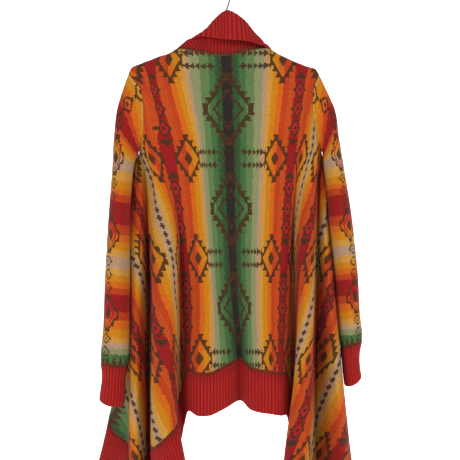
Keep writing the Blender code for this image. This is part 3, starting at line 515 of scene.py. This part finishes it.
def mitre(pieces):
    """Gives the rims of neighbouring pieces common normals, so that their walls meet edge to edge."""
    found = []
    for number, piece in enumerate(pieces):
        for i, j in rims(piece["grid"], piece["closed"]):
            for point, normal in zip(piece["grid"][i, j], piece["normals"][i, j], strict=True):
                found.append((point, normal, number))
    tree = kdtree.KDTree(len(found))
    for index, (point, _, _) in enumerate(found):
        tree.insert(point, index)
    tree.balance()
    for number, piece in enumerate(pieces):
        fixed = piece["normals"].copy()
        for i, j in rims(piece["grid"], piece["closed"]):
            for a, b in zip(i, j, strict=True):
                total, met = piece["normals"][a, b].copy(), {number}
                for _, index, _ in tree.find_range(piece["grid"][a, b], REACH):
                    owner = found[index][2]
                    if owner not in met:
                        met.add(owner)
                        total += found[index][1]
                fixed[a, b] = unit(total)
        piece["fixed"] = fixed
    for piece in pieces:
        piece["normals"] = piece.pop("fixed")


def from_rims(grid, closed):
    """How far each point of a grid is from its nearest rim, along the cloth, and from its two ends."""
    down = np.linalg.norm(np.diff(grid, axis=1), axis=2)
    top = np.concatenate([np.zeros((len(grid), 1)), np.cumsum(down, axis=1)], axis=1)
    foot = top[:, -1:] - top
    away = np.minimum(top, foot)
    if not closed:
        over = np.linalg.norm(np.diff(grid, axis=0), axis=2)
        first = np.concatenate([np.zeros((1, grid.shape[1])), np.cumsum(over, axis=0)])
        away = np.minimum(away, np.minimum(first, first[-1:] - first))
    return away, top, foot


def smooth(share):
    """0 below 0, 1 above 1, and a soft step between."""
    share = np.clip(share, 0, 1)
    return share * share * (3 - 2 * share)


def creased(name, grid, normals, s, t):
    """The grid with its own creases pressed in."""
    push = WAVES * np.sin(s / 17 + 1.3 * np.sin(t / 60)) * np.sin(t / 47 + s / 90)
    for s0, t0, s1, t1, width, depth in CREASES.get(name, ()):
        run = np.array([s1 - s0, t1 - t0], float)
        length = np.linalg.norm(run)
        along = ((s - s0) * run[0] + (t - t0) * run[1]) / length**2
        aside = ((s - s0) * run[1] - (t - t0) * run[0]) / length
        ends = smooth(along / CREASE_END) * smooth((1 - along) / CREASE_END)
        push -= depth * ends * np.exp(-((aside / width) ** 2))
    away = from_rims(grid, False)[0]
    return grid + normals * (push * smooth(away / CALM))[..., None]


def sheet(name, grid, cloth, ribs=False, closed=False, turned=False):
    """A piece of cloth about its middle surface, with s and t of every point in cloth. A turned piece has
    its outside on the other side of its grid."""
    side = -1 if turned else 1
    normals = normals_of(grid, closed) * side
    if not ribs:
        grid = creased(name, grid, normals, cloth[..., 0], cloth[..., 1])
        normals = normals_of(grid, closed) * side
    return dict(name=name, grid=grid, normals=normals, cloth=cloth, ribs=ribs, closed=closed, turned=turned)


def measure(u, down):
    """The cloth's own measure across, for columns at places u round the body and depths below the hook."""
    at_folds = []
    for name, line in zip(NAMES, LINES, strict=True):
        depths = (min(-line[-1, 0], MEASURE_DOWN[0] - 1), *MEASURE_DOWN)
        at_folds.append(np.interp(down, depths, np.broadcast_to(MEASURES[name], len(depths))))
    at_folds = np.array(at_folds)
    i = np.clip(np.searchsorted(GIRTH, u, side="right") - 1, 0, len(GIRTH) - 2)
    share = ((u - GIRTH[i]) / (GIRTH[i + 1] - GIRTH[i]))[:, None]
    columns = np.arange(len(u))
    return at_folds[i, columns] * (1 - share) + at_folds[i + 1, columns] * share


def panel(name, first, last):
    """A piece of the body between two folds."""
    u = evenly(AT[first], AT[last], AT[last] - AT[first], 4.2)
    grid = body(u, evenly(0.0, 1.0, PANEL_DROP, 5.2))
    return sheet(name, grid, np.stack([measure(u, -grid[..., 2]), -grid[..., 2]], axis=2))


def border_piece(name, first, last):
    """A ribbed piece of the border between two folds."""
    u = np.linspace(AT[first], AT[last], 1201)
    run = running(border(u, (0.3,))[:, 0])
    columns = round(run[-1] / RIB_PITCH) * RIB_STEPS
    places = np.linspace(0, run[-1], columns + 1)
    rows = evenly(0.0, 1.0, BORDER, 7.0)
    grid = border(np.interp(places, run, u), rows)
    cloth = np.stack(np.broadcast_arrays(places[:, None] * columns / RIB_STEPS / run[-1], rows * BORDER), 2)
    return sheet(name, grid, cloth, ribs=True)


def collar_seam():
    """The collar's seam line as a fine row of points, and the places of the stations along it."""
    left, right = AT["left_neckline"], AT["right_neckline"]
    down = np.linspace(0, 1, 61)
    neck = body(np.linspace(AT["left_neck"], AT["right_neck"], 81), (0.0,))[:, 0]
    runs = (
        border(np.linspace(AT["left_break"], left, 41), (0.0,))[:, 0],
        body(np.array([left]), down)[0][::-1],
        neck,
        body(np.array([right]), down)[0],
        border(np.linspace(right, AT["right_break"], 41), (0.0,))[:, 0],
    )
    starts = np.cumsum([0] + [len(run) for run in runs])
    line = np.concatenate(runs)
    run = running(line)
    marks = {name: starts[part] + step for name, (part, step) in SEAM_MARKS.items()}
    for (name, *_), x in zip(COLLAR[4:9], NECK_X, strict=True):
        marks[name] = starts[2] + int(np.argmin(np.abs(neck[:, 0] - x)))
    return line, run, {name: run[mark] for name, mark in marks.items()}


def across_collar(points):
    """Rows across the collar through its five guiding rows, smooth and round at the turn."""
    step = np.linalg.norm(np.diff(points, axis=1), axis=2, keepdims=True)
    slope = np.diff(points, axis=1) / step
    inner = (slope[:, :-1] * step[:, 1:] + slope[:, 1:] * step[:, :-1]) / (step[:, :-1] + step[:, 1:])
    inner[:, 0] = unit(slope[:, 0] + slope[:, 1])
    tangent = np.concatenate([slope[:, :1], inner, slope[:, -1:]], axis=1)
    rows = []
    for k, count in enumerate(COLLAR_STEPS):
        last = k == len(COLLAR_STEPS) - 1
        reach = np.minimum(step[:, k] / 2, STAND_REACH) if k == 0 else step[:, k]
        shares = np.linspace(0, 1, count + 1)[: None if last else -1]
        if k == 0:
            shares = np.insert(shares, 1, (0.012, 0.03, 0.06))
        if last:
            shares = np.insert(shares, -1, (0.94, 0.97, 0.988))
        leave, arrive = step[:, k] * tangent[:, k], reach * tangent[:, k + 1]
        rows += [cubic(t, points[:, k], leave, points[:, k + 1], arrive) for t in shares]
    return np.stack(rows, axis=1)


def collar():
    """The ribbed shawl collar and front edges, folded over at the neck."""
    line, run, marks = collar_seam()
    rows = {name: np.array(rest, float) for name, *rest in COLLAR}
    ends = border(np.array([AT["left_break"], AT["right_break"]]), (0.5, 1.0)).reshape(2, 6)
    rows |= {"left_break": ends[0], "right_break": ends[1]}
    order = sorted(marks, key=marks.get)
    columns = round(run[-1] / RIB_PITCH) * RIB_STEPS
    places = np.linspace(0, run[-1], columns + 1)
    seam = np.stack([np.interp(places, run, line[:, k]) for k in range(3)], axis=1)
    turns = hermite([marks[name] for name in order], [rows[name] for name in order], places)
    fold, edge = turns[:, :3], turns[:, 3:]
    across, middle = edge - seam, unit(fold - (seam + edge) / 2)
    outward = unit(across - (across * middle).sum(1, keepdims=True) * middle)
    folded = np.linalg.norm(unit(fold - seam) - unit(edge - fold), axis=1, keepdims=True)
    folded = np.clip(folded - FLAT_TURN, 0, 1)
    fall = (fold + edge) / 2 + outward * COLLAR_BOW * folded
    turned = outward * FOLD_HALF * folded
    before = fold + unit(seam - fold) * FOLD_HALF * TURN_DROP - turned
    after = fold + unit(fall - fold) * FOLD_HALF * TURN_DROP + turned
    grid = across_collar(np.stack([seam, before, after, fall, edge], axis=1))
    down = from_rims(grid, False)[1]
    ribs = np.broadcast_to((places * columns / RIB_STEPS / run[-1])[:, None], down.shape)
    return sheet("collar", grid, np.stack([ribs, down], axis=2), ribs=True, turned=True)


def armhole(side):
    """The body's edge round a sleeve's opening, and the shares of the way round it."""
    first, last = (AT[name] for name in SLEEVE_SHOULDERS[side])
    points = body(np.linspace(first, last, 241), (0.0,))[:, 0]
    run = running(points)
    return points, run / run[-1]


def squarer(wave, power):
    """A sine or cosine with fuller sides."""
    return np.sign(wave) * np.abs(wave) ** power


def ring(row, angles):
    """One ring of a sleeve or cuff. Angle 0 is its outer side and a quarter turn its front."""
    _, outer_x, outer_z, inner_x, inner_z, back, front = row
    c = np.cos(angles)
    x = (outer_x + inner_x) / 2 + (outer_x - inner_x) / 2 * c
    y = (front + back) / 2 + (front - back) / 2 * squarer(np.sin(angles), 0.85)
    z = (outer_z + inner_z) / 2 + (outer_z - inner_z) / 2 * c
    return np.stack([x, y, z], axis=1)


def arm(side, shares):
    """A sleeve and its cuff as one tube of rings, with the running place of each ring."""
    points, places = armhole(side)
    turn = 2 * math.pi * shares * (1 if side == "left" else -1)
    rings = [np.stack([np.interp(shares, places, points[:, k]) for k in range(3)], axis=1)]
    rings += [ring(row, turn) for row in SLEEVES[side] + CUFFS[side]]
    rings = np.array(rings)
    rings[-1, :, 2] -= CUFF_SAG[side] * np.abs(np.sin(turn)) ** 1.5
    way = np.linalg.norm(np.diff(rings, axis=0), axis=2).mean(axis=1)
    return rings, np.concatenate([[0.0], np.cumsum(way)])


def sleeve(side):
    """A sleeve from its armhole to its cuff."""
    shares = np.arange(112) / 112
    rings, knots = arm(side, shares)
    places = evenly(0.0, knots[len(SLEEVES[side])], knots[len(SLEEVES[side])], 5.5)
    grid = hermite(knots, rings, places).transpose(1, 0, 2)
    around = (shares + 0.5) % 1.0 - 0.5
    s = around[:, None] * np.full(len(places), 190.0)
    along = places / places[-1] * SLEEVE_LENGTH
    depth = -grid[..., 2]
    level = np.interp(depth - 3.5 * (1 - np.cos(2 * math.pi * around))[:, None], depth.mean(axis=0), along)
    t = along + (level - along) * smooth((along - 40) / 90)
    return sheet(f"sleeve_{side}", grid, np.stack([s, t], axis=2), closed=True, turned=True)


def cuff(side):
    """A ribbed cuff."""
    size = running(ring(CUFFS[side][0], np.linspace(0, 2 * math.pi, 73)))[-1]
    ribs = round(size / RIB_PITCH)
    shares = np.arange(ribs * RIB_STEPS) / (ribs * RIB_STEPS)
    rings, knots = arm(side, shares)
    first, last = knots[-len(CUFFS[side]) - 1], knots[-1]
    places = evenly(first, last, last - first, 6.0)
    grid = hermite(knots, rings, places).transpose(1, 0, 2)
    cloth = np.stack(np.broadcast_arrays((shares * ribs)[:, None], places - first), 2)
    return sheet(f"cuff_{side}", grid, cloth, ribs=True, closed=True, turned=True)


def parted(grid, closed):
    """The grid with its ends, and its sides if it is open, moved in by a seam's half gap."""
    grid = grid.copy()
    grid[:, 0] += unit(grid[:, 1] - grid[:, 0]) * SEAM
    grid[:, -1] += unit(grid[:, -2] - grid[:, -1]) * SEAM
    if not closed:
        grid[0] += unit(grid[1] - grid[0]) * SEAM
        grid[-1] += unit(grid[-2] - grid[-1]) * SEAM
    return grid


def rib_rise(place):
    """How far the ribbing stands out at a place that is counted in ribs."""
    return RIB_RISE * (1 - np.abs(2 * (place % 1.0) - 1) ** RIB_ROUND)


def shell(piece):
    """The closed thin shell of a piece of cloth, with its own measures kept at every point."""
    grid, out, closed = piece["grid"], piece["normals"], piece["closed"]
    away, top, foot = from_rims(grid, closed)
    grid = parted(grid, closed)
    near = 1 - np.clip(away / TUCK, 0, 1)
    full = TUCKED + (1 - TUCKED) * np.sqrt(1 - near**2)
    outer = inner = np.full(away.shape, CLOTH / 2)
    if piece["ribs"]:
        place = piece["cloth"][..., 0]
        outer = RIB_GROUND / 2 + rib_rise(place)
        inner = RIB_GROUND / 2 + rib_rise(place + 0.5) * RIB_BACK
    sides = grid + out * (outer * full)[..., None], grid - out * (inner * full)[..., None]
    count = away.size
    index = np.arange(count).reshape(away.shape)
    ahead = np.roll(index, -1, axis=0)[: None if closed else -1]
    here = index if closed else index[:-1]
    quads = np.stack([here[:, :-1], ahead[:, :-1], ahead[:, 1:], here[:, 1:]], axis=2).reshape(-1, 4)
    faces = [quads, quads[:, ::-1] + count]
    edges = [(ahead[:, 0], here[:, 0]), (here[:, -1], ahead[:, -1])]
    if not closed:
        edges += [(index[0, :-1], index[0, 1:]), (index[-1, 1:], index[-1, :-1])]
    faces += [np.stack([a, b, b + count, a + count], axis=1) for a, b in edges]
    faces = np.concatenate(faces)
    if piece["turned"]:
        faces = faces[:, ::-1]
    mesh = shape(piece["name"], np.array(sides), faces.tolist())
    cloth = np.concatenate([piece["cloth"], np.zeros(away.shape + (1,))], axis=2).reshape(-1, 3)
    seams = np.stack([top, foot, away], axis=2).reshape(-1, 3)
    keep(mesh, "cloth", np.concatenate([cloth, cloth + (0, 0, 1)]))
    keep(mesh, "seams", np.concatenate([seams, seams]))
    return add(piece["name"] + "_cloth", mesh)


def keep(mesh, name, values):
    """Stores a vector at every point of a mesh, for its material."""
    layer = mesh.attributes.new(name, "FLOAT_VECTOR", "POINT")
    layer.data.foreach_set("vector", np.asarray(values, np.float32).ravel())


def add(name, data):
    """An object of a mesh, light or camera, in the scene."""
    made = bpy.data.objects.new(name, data)
    bpy.context.scene.collection.objects.link(made)
    return made


def shape(name, points, faces):
    """A smooth mesh. Its points are in millimetres."""
    mesh = bpy.data.meshes.new(name)
    mesh.from_pydata((points.reshape(-1, 3) * MM).tolist(), [], faces)
    mesh.shade_smooth()
    return mesh


def arm_height(x):
    """Top of the hanger's arms."""
    return ARM_AT_100 - (abs(x) - 100) * ARM_SLOPE - ARM_TILT * x


def tube(name, rings):
    """A solid bar through its rings, closed by flat ends."""
    count, sides = rings.shape[:2]
    index = np.arange(count * sides).reshape(count, sides)
    turn = np.roll(index, -1, axis=1)
    quads = np.stack([index[:-1], turn[:-1], turn[1:], index[1:]], axis=2).reshape(-1, 4)
    mesh = shape(name, rings, quads.tolist() + [index[0, ::-1].tolist(), index[-1].tolist()])
    mesh.validate()
    mesh.set_sharp_from_angle(angle=math.radians(60))
    return add(name, mesh)


def hanger_arms():
    """The hanger's wooden arms, one bar bent at the neck, with rounded tips."""
    tip = HANGER_TIP - TIP_LONG
    half = np.concatenate([np.linspace(0, tip, 60), tip + TIP_LONG * np.sin(np.linspace(0.2, 1.57, 8))])
    angles = 2 * math.pi * np.arange(24) / 24
    rings = []
    for x in np.concatenate([-half[:0:-1], half]):
        top = arm_height(x)
        if abs(x) < NECK_BEND:
            low = arm_height(math.copysign(NECK_BEND, x))
            top = NECK_WOOD + (low - NECK_WOOD) * (abs(x) / NECK_BEND) ** 1.6
        end = min(1.0, (HANGER_TIP - abs(x)) / TIP_LONG + 0.45)
        across = squarer(np.cos(angles), 0.6) * HANGER_THICK * (0.6 + 0.4 * end) / 2
        up = squarer(np.sin(angles), 0.6) * HANGER_DEEP * end / 2
        rings.append(np.stack([np.full(24, x), across, top - HANGER_DEEP / 2 + up], axis=1))
    return tube("hanger_arms_wood", np.array(rings))


def hanger_hook():
    """The wire hook, one bent rod with a rounded end."""
    radius = HOOK_RADIUS + WIRE / 2
    turns = np.linspace(-HOOK_LEAN, HOOK_END, 25)
    crook = np.stack([radius * np.cos(turns), radius * np.sin(turns) - HOOK_RADIUS], axis=1)
    bend = np.array([0.0, HOOK_BEND])
    line = [(0.0, NECK_WOOD + 0.3), bend - (0, 12), bend]
    line += [bend + (crook[0] - bend) * share for share in (0.15, 0.5, 0.85)]
    line = np.insert(np.concatenate([line, crook]), 1, 0.0, axis=1)
    run = running(line)
    end = run[-1] - WIRE / 2
    places = np.concatenate([np.linspace(0, end, 150), end + np.array([0.8, 1.5, 1.85, 2.0])])
    line = hermite(run, line, places)
    size = np.full((len(line), 1, 1), WIRE / 2)
    size[-4:, 0, 0] *= (0.93, 0.72, 0.42, 0.12)
    ahead = np.array([0.0, 1.0, 0.0])
    side = np.cross(tangents(line, 0), ahead)[:, None]
    turn = (2 * math.pi * np.arange(16) / 16)[:, None]
    return tube("hanger_hook_wire", line[:, None] + (side * np.cos(turn) + ahead * np.sin(turn)) * size)


class Term:
    """A number in a shader. Arithmetic on it adds math nodes to its tree."""

    def __init__(self, tree, socket):
        self.tree, self.socket = tree, socket

    def math(self, operation, *others):
        node = self.tree.nodes.new("ShaderNodeMath")
        node.operation = operation
        for slot, value in zip(node.inputs, (self, *others)):
            feed(self.tree, value, slot)
        return Term(self.tree, node.outputs[0])

    def __rsub__(self, other):
        return (self * -1.0) + other

    def within(self, low, high):
        return (self > low) & (self < high)

    def snap(self, step):
        """The middle of the step that the number is in."""
        return self.math("SNAP", step) + step / 2

    def about(self, period, middle=0.0):
        """How far it is from the nearest of the middles, a period apart."""
        return (self + (period - middle)).fold(period / 2) if middle else self.fold(period / 2)


def method(operation):
    """A method of Term that adds one math node."""
    return lambda term, *others: term.math(operation, *others)


for operation, names in {
    "ADD": ("__add__", "__radd__"),
    "SUBTRACT": ("__sub__",),
    "MULTIPLY": ("__mul__", "__rmul__", "__and__"),
    "DIVIDE": ("__truediv__",),
    "ABSOLUTE": ("__abs__",),
    "LESS_THAN": ("__lt__",),
    "GREATER_THAN": ("__gt__",),
    "MAXIMUM": ("__or__", "at_least"),
    "MINIMUM": ("at_most",),
    "FLOOR": ("floor",),
    "FRACT": ("fract",),
    "PINGPONG": ("fold",),  # back and forth between 0 and a size
}.items():
    for name in names:
        setattr(Term, name, method(operation))


def feed(tree, value, slot):
    """Links a term, or a node's output, to an input, or sets its value."""
    if isinstance(value, Term):
        value = value.socket
    if isinstance(value, bpy.types.NodeSocket):
        tree.links.new(value, slot)
    else:
        slot.default_value = value


def settle(node, values):
    """Sets inputs of a node by their names."""
    for key, value in values.items():
        node.inputs[key].default_value = value


class Paint:
    """A material whose colour and bump are worked out by nodes."""

    def __init__(self, name, roughness, sheen=0.0, metallic=0.0):
        self.material = bpy.data.materials.new(name)
        self.material.use_nodes = True
        self.tree = self.material.node_tree
        self.shader = self.tree.nodes["Principled BSDF"]
        settle(self.shader, {"Roughness": roughness, "Metallic": metallic, "Sheen Weight": sheen})
        settle(self.shader, {"Sheen Roughness": 0.6, "Specular IOR Level": 0.1 if sheen else 0.5})

    def node(self, kind, settings=None, **inputs):
        made = self.tree.nodes.new(kind)
        for key, value in (settings or {}).items():
            setattr(made, key, value)
        for key, value in inputs.items():
            feed(self.tree, value, made.inputs[key.replace("_", " ")])
        return made

    def measures(self, name):
        """The three numbers that a mesh keeps under that name."""
        vector = self.node("ShaderNodeAttribute", {"attribute_name": name}).outputs["Vector"]
        parts = self.node("ShaderNodeSeparateXYZ", Vector=vector).outputs
        return [Term(self.tree, part) for part in parts]

    def where(self):
        return self.node("ShaderNodeTexCoord").outputs["Object"]

    def vector(self, x, y, z=0.0):
        return self.node("ShaderNodeCombineXYZ", X=x, Y=y, Z=z).outputs[0]

    def speck(self, x, y, z=0.0):
        """A random number from 0 to 1 for each whole x, y, z."""
        made = self.node("ShaderNodeTexWhiteNoise", {"noise_dimensions": "3D"}, Vector=self.vector(x, y, z))
        return Term(self.tree, made.outputs["Value"])

    def noise(self, vector, scale, detail=2.0):
        made = self.node("ShaderNodeTexNoise", Vector=vector, Scale=scale, Detail=detail)
        return Term(self.tree, made.outputs["Fac"])

    def ramp(self, where, stops):
        """The colour at a place from 0 to 1, from (start, colour) pairs."""
        made = self.node("ShaderNodeValToRGB", Fac=where)
        made.color_ramp.interpolation = "CONSTANT"
        points = made.color_ramp.elements
        while len(points) < len(stops):
            points.new(0.5)
        for point, (start, _) in zip(points, stops, strict=True):
            point.position = start
        for point, (_, colour) in zip(points, stops, strict=True):
            point.color = linear(colour)
        return made.outputs["Color"]

    def grade(self, where, *stops):
        """Colours the material from one colour to another, given with their places from 0 to 1."""
        made = self.node("ShaderNodeValToRGB", Fac=where)
        for point, (start, colour) in zip(made.color_ramp.elements, stops, strict=True):
            point.position, point.color = start, (*colour, 1)
        self.colour(made.outputs[0])

    def mix(self, share, first, second):
        made = self.node("ShaderNodeMix", {"data_type": "RGBA"})
        feed(self.tree, share, made.inputs[0])
        for slot, colour in ((6, first), (7, second)):
            feed(self.tree, linear(colour) if isinstance(colour, str) else colour, made.inputs[slot])
        return made.outputs[2]

    def tint(self, colour, value):
        """The colour, lighter or darker."""
        return self.node("ShaderNodeHueSaturation", Color=colour, Value=value).outputs["Color"]

    def bump(self, height, distance, strength):
        made = self.node("ShaderNodeBump", Height=height, Distance=distance, Strength=strength)
        feed(self.tree, made.outputs["Normal"], self.shader.inputs["Normal"])

    def colour(self, colour):
        feed(self.tree, colour, self.shader.inputs["Base Color"])


def serrated(distance, along, inner, outer, teeth):
    """The mask of a ring between two distances, with teeth on its outer edge."""
    return (distance > inner) & ((distance - (along / TOOTH).fract() * teeth) < outer)


def body_motifs(a, t, reach):
    """Masks of the dark figures of the body and of their bright parts. a is the place among the
    stripes, t the height on the cloth and reach the distance from the spine."""
    middle = t.about(BODY_REPEAT, 318.0)
    between = t.about(BODY_REPEAT, BODY_REPEAT)
    from_red = abs(a - RED_LINE)
    back = reach < 170.0
    diamond = from_red.snap(2.6) / 18 + middle.fold(20.6).snap(2.15) / 22
    column = middle < 61.8
    diamond_dark = column & (diamond.within(0.68, 1.0) | (diamond < 0.3))
    ends = (middle > 64.0) & (middle + from_red < 80.0)
    lozenge = a.snap(3.9) / 66 + middle.snap(4.3) / 84
    frame_dark = serrated(lozenge, middle, 0.76, 0.88, 0.22)
    star = abs(a - GOLD_LINE) / 34 + between / 56
    star_dark = serrated(star, between, 0.70, 0.84, 0.28) | (star < 0.28)
    zigzag = a + (t.about(17.2) - 4.3) * 0.9
    spine = back & zigzag.within(14.0, 18.5) & (between < 52.0)
    rows = (abs(middle - 92.0) < (1 - (a / 11.7).fract()) * 7.5) & a.within(28.0, 96.0) & back
    chain = (abs(a - 79.0) + t.about(17.2) * 0.85 < 6.6) & (reach > 190.0)
    dark = frame_dark | lozenge.within(0.42, 0.53) | star_dark | diamond_dark | ends | spine | rows | chain
    return dark, column & diamond.within(0.3, 0.68)


def knit_height(s, t):
    """The relief of plain stitches: two slanting legs in each column."""
    leg = abs((s / STITCH_WIDE).fract() - 0.5)
    row = (t / STITCH_TALL + leg * 1.5).fract()
    return (1 - leg * leg * 3.4) * 0.6 + (1 - abs(row - 0.5) * 2) * 0.4


def knit(name, stripes, span, mirrored):
    """The striped and figured knit of the body or of a sleeve."""
    paint = Paint(name, 0.92, sheen=0.03)
    s, t, inside = paint.measures("cloth")
    top, foot, _ = paint.measures("seams")
    column, row = (s / STITCH_WIDE).floor(), (t / STITCH_TALL).floor()
    speck = paint.speck(column, row)
    along = t.snap(STITCH_TALL)
    if mirrored:
        reach = abs(s).snap(STITCH_WIDE)
        beyond = (reach - RED_LINE).at_least(0.0)
        turned = beyond.at_most(CLAY_LINE * TURNS).fold(CLAY_LINE)
        last = (beyond - CLAY_LINE * TURNS).at_least(0.0).fold(RED_LINE)
        place = reach.at_most(RED_LINE) - turned - last
        dark, bright = body_motifs(place, along, reach)
        seam = (top < 5.0) & (abs(s) < 100.0)
        left = (abs(t + s * 0.085 - 187.0) < 1.4) & s.within(-124.0, -76.0)
        right = (abs(t + s * 0.05 - 189.8) < 1.4) & s.within(55.0, 92.0)
        shoulder = left | right
    else:
        dark, bright = sleeve_motifs(abs(abs(s) - 28.0).snap(STITCH_WIDE), along)
        place, seam, shoulder = along, top < 0.0, top < 1.6
    place = (place + (speck - 0.5) * DITHER) / span
    base = paint.ramp(place, [(start / span, colour) for start, colour in stripes])
    figured = paint.ramp(place, [(start / span, "on" if c in FIGURED else "off") for start, c in stripes])
    dash = ((row + (column / 2).fract() * 0.6) / 2).fract() > 0.5
    base = paint.tint(base, Term(paint.tree, figured) * (dash * 0.3 - 0.15) + 1.0)
    base = paint.mix(dark * 0.95, base, "brown")
    base = paint.mix(bright, base, "scarlet")
    fleck = paint.speck(column, row, 7.0)
    base = paint.tint(base, fleck * 0.2 + 0.9)
    wrong = paint.mix((speck > 0.52) * 0.75, base, "brown")
    base = paint.mix(inside, base, wrong)
    linking = (foot < 4.4) | seam
    base = paint.mix(linking * 0.9, base, "trim")
    base = paint.mix(linking & (fleck > 0.72), base, "brown")
    paint.colour(paint.mix(shoulder * 0.8, base, "brown"))
    paint.bump(knit_height(s, t), 0.0007, 0.8)
    return paint.material


def sleeve_motifs(a, t):
    """Masks of the sleeve's figures: a is the way round from its front or back line and t down it."""
    middle = t.about(SLEEVE_REPEAT, 112.0)
    lozenge = a.snap(2.6) / 34 + middle.snap(4.3) / 46
    small = t.about(SLEEVE_REPEAT, 194.0)
    diamond = a / 13 + small.fold(14.0) / 14
    small_dark = (small < 42.0) & (diamond.within(0.62, 0.96) | (diamond < 0.24))
    saw = (t > 520.0) & (t - abs((a / 14.3).fract() - 0.5) * 44.0 > 529.0)
    dark = serrated(lozenge, middle, 0.72, 0.82, 0.22) | (lozenge < 0.3) | small_dark | saw
    return dark, lozenge.within(0.46, 0.6)


def ribbing():
    """The red ribbing, with a painted highlight on the ribs and painted shade between them and towards its
    seam.
    """
    paint = Paint("rib_knit", 0.9, sheen=0.03)
    rib, t, inside = paint.measures("cloth")
    top = paint.measures("seams")[0]
    groove = abs((rib + inside * 0.5).fract() - 0.5) * 2.0
    # painted shade in the grooves between the ribs and a painted highlight on their crests, laid over ribs
    # that the mesh already has
    base = paint.mix((groove - 0.45) * 1.5, "rib", "rib_painted_shade")
    base = paint.mix((0.3 - groove) * 1.6, base, "rib_painted_highlight")
    speck = paint.speck((rib * 4.0).floor(), (t / RIB_STITCH).floor())
    patch = paint.noise(paint.vector(rib * RIB_PITCH, t), 0.035)
    # painted shade: the ribbing is darker within 26 mm of its seam, where the roll of the collar and the
    # fold of the cloth shade it
    near = (1 - (top / 26.0).at_most(1.0)) * 0.22
    base = paint.tint(base, speck * 0.16 + patch * 0.2 + 0.82 - near)
    paint.colour(paint.mix((top < 2.4) & (speck > 0.3), base, "brown"))
    leg = abs((rib * 2.0).fract() - 0.5)
    paint.bump((1 - abs((t / RIB_STITCH + leg * 1.5).fract() - 0.5) * 2), 0.0005, 0.7)
    return paint.material


def wood():
    """Varnished beech with a fine straight grain."""
    paint = Paint("hanger_wood", 0.42)
    stretched = paint.node("ShaderNodeMapping", Vector=paint.where(), Scale=(6.0, 90.0, 90.0))
    grain = paint.noise(stretched.outputs[0], 3.0, 6.0)
    paint.grade(grain, (0.3, (0.20, 0.105, 0.045)), (0.72, (0.42, 0.26, 0.13)))
    paint.bump(grain, 0.0003, 0.5)
    return paint.material


def bronze():
    """The hook's brown bronze, a little worn."""
    paint = Paint("hook_bronze", 0.38, metallic=1.0)
    worn = paint.noise(paint.where(), 260.0, 4.0)
    paint.grade(worn, (0.0, (0.10, 0.065, 0.04)), (1.0, (0.26, 0.18, 0.11)))
    feed(paint.tree, worn * 0.25 + 0.28, paint.shader.inputs["Roughness"])
    return paint.material


def tie(made, node, material):
    """Gives a piece its material, ties it to the root body and hides its solid."""
    made.data.materials.append(material)
    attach(made, "root")
    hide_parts(node)


def dress():
    """Makes the cloth pieces and the hanger, and ties each to the frame."""
    body_knit = knit("body_knit", STRIPES, RED_LINE, True)
    sleeve_knit = knit("sleeve_knit", SLEEVE_STRIPES, SLEEVE_LENGTH, False)
    rib_knit = ribbing()
    pieces = [
        panel("back", "left_side", "right_side"),
        panel("front_left", "left_neckline", "left_side"),
        panel("front_right", "right_side", "right_neckline"),
        border_piece("hem_back", "left_side", "right_side"),
        border_piece("band_left", "left_break", "left_side"),
        border_piece("band_right", "right_side", "right_break"),
        collar(),
    ]
    for side in ("left", "right"):
        pieces += [sleeve(side), cuff(side)]
    mitre(pieces)
    metal, arms = hanger_hook(), hanger_arms()
    tie(metal, "hanger_hook", bronze())
    tie(arms, "hanger_arms", wood())
    for piece in pieces:
        name = piece["name"]
        made = shell(piece)
        if piece["ribs"]:
            tie(made, name, rib_knit)
        else:
            tie(made, name, sleeve_knit if name.startswith("sleeve") else body_knit)


def light(name, place, size, power):
    """A soft square light that faces the garment."""
    data = bpy.data.lights.new(name, "AREA")
    data.size, data.energy = size, power
    made = add(name, data)
    made.location = place
    made.rotation_euler = (Vector((0, 0, -0.6)) - Vector(place)).to_track_quat("-Z", "Y").to_euler()


def studio():
    """The pale floor and wall, the light and the camera."""
    side, back, low, high = 9.0, 4.5, -1.62, 7.0
    corners = [(-side, -side, low), (side, -side, low), (side, back, low), (-side, back, low)]
    corners += [(side, back, high), (-side, back, high)]
    floor = bpy.data.meshes.new("floor")
    floor.from_pydata(corners, [], [(0, 1, 2, 3), (3, 2, 4, 5)])
    stage = add("floor", floor)
    plain = Paint("pale_floor", 0.9)
    settle(plain.shader, {"Base Color": (0.86, 0.86, 0.86, 1), "Emission Color": WHITE})
    settle(plain.shader, {"Emission Strength": 0.8})
    floor.materials.append(plain.material)
    world = bpy.data.worlds.new("studio")
    bpy.context.scene.world = world
    world.use_nodes = True
    settle(world.node_tree.nodes["Background"], {"Color": WHITE, "Strength": 0.5})
    light("key_left", (-2.1, -2.1, 0.7), 1.2, 52)
    light("key_right", (2.3, -1.9, 0.8), 1.2, 52)
    light("rim", (1.8, 2.4, 0.8), 1.6, 22)
    bpy.context.scene.view_settings.view_transform = "Standard"
    data = bpy.data.cameras.new("camera")
    data.sensor_width = 36.0
    data.lens = data.sensor_width * CAMERA_AWAY / (PHOTO_WIDE * PIXEL * MM)
    camera = add("camera", data)
    camera.location = (0.0086, -CAMERA_AWAY, -0.576)
    camera.rotation_euler = (math.pi / 2, 0, 0)
    bpy.context.scene.camera = camera


dress()
studio()
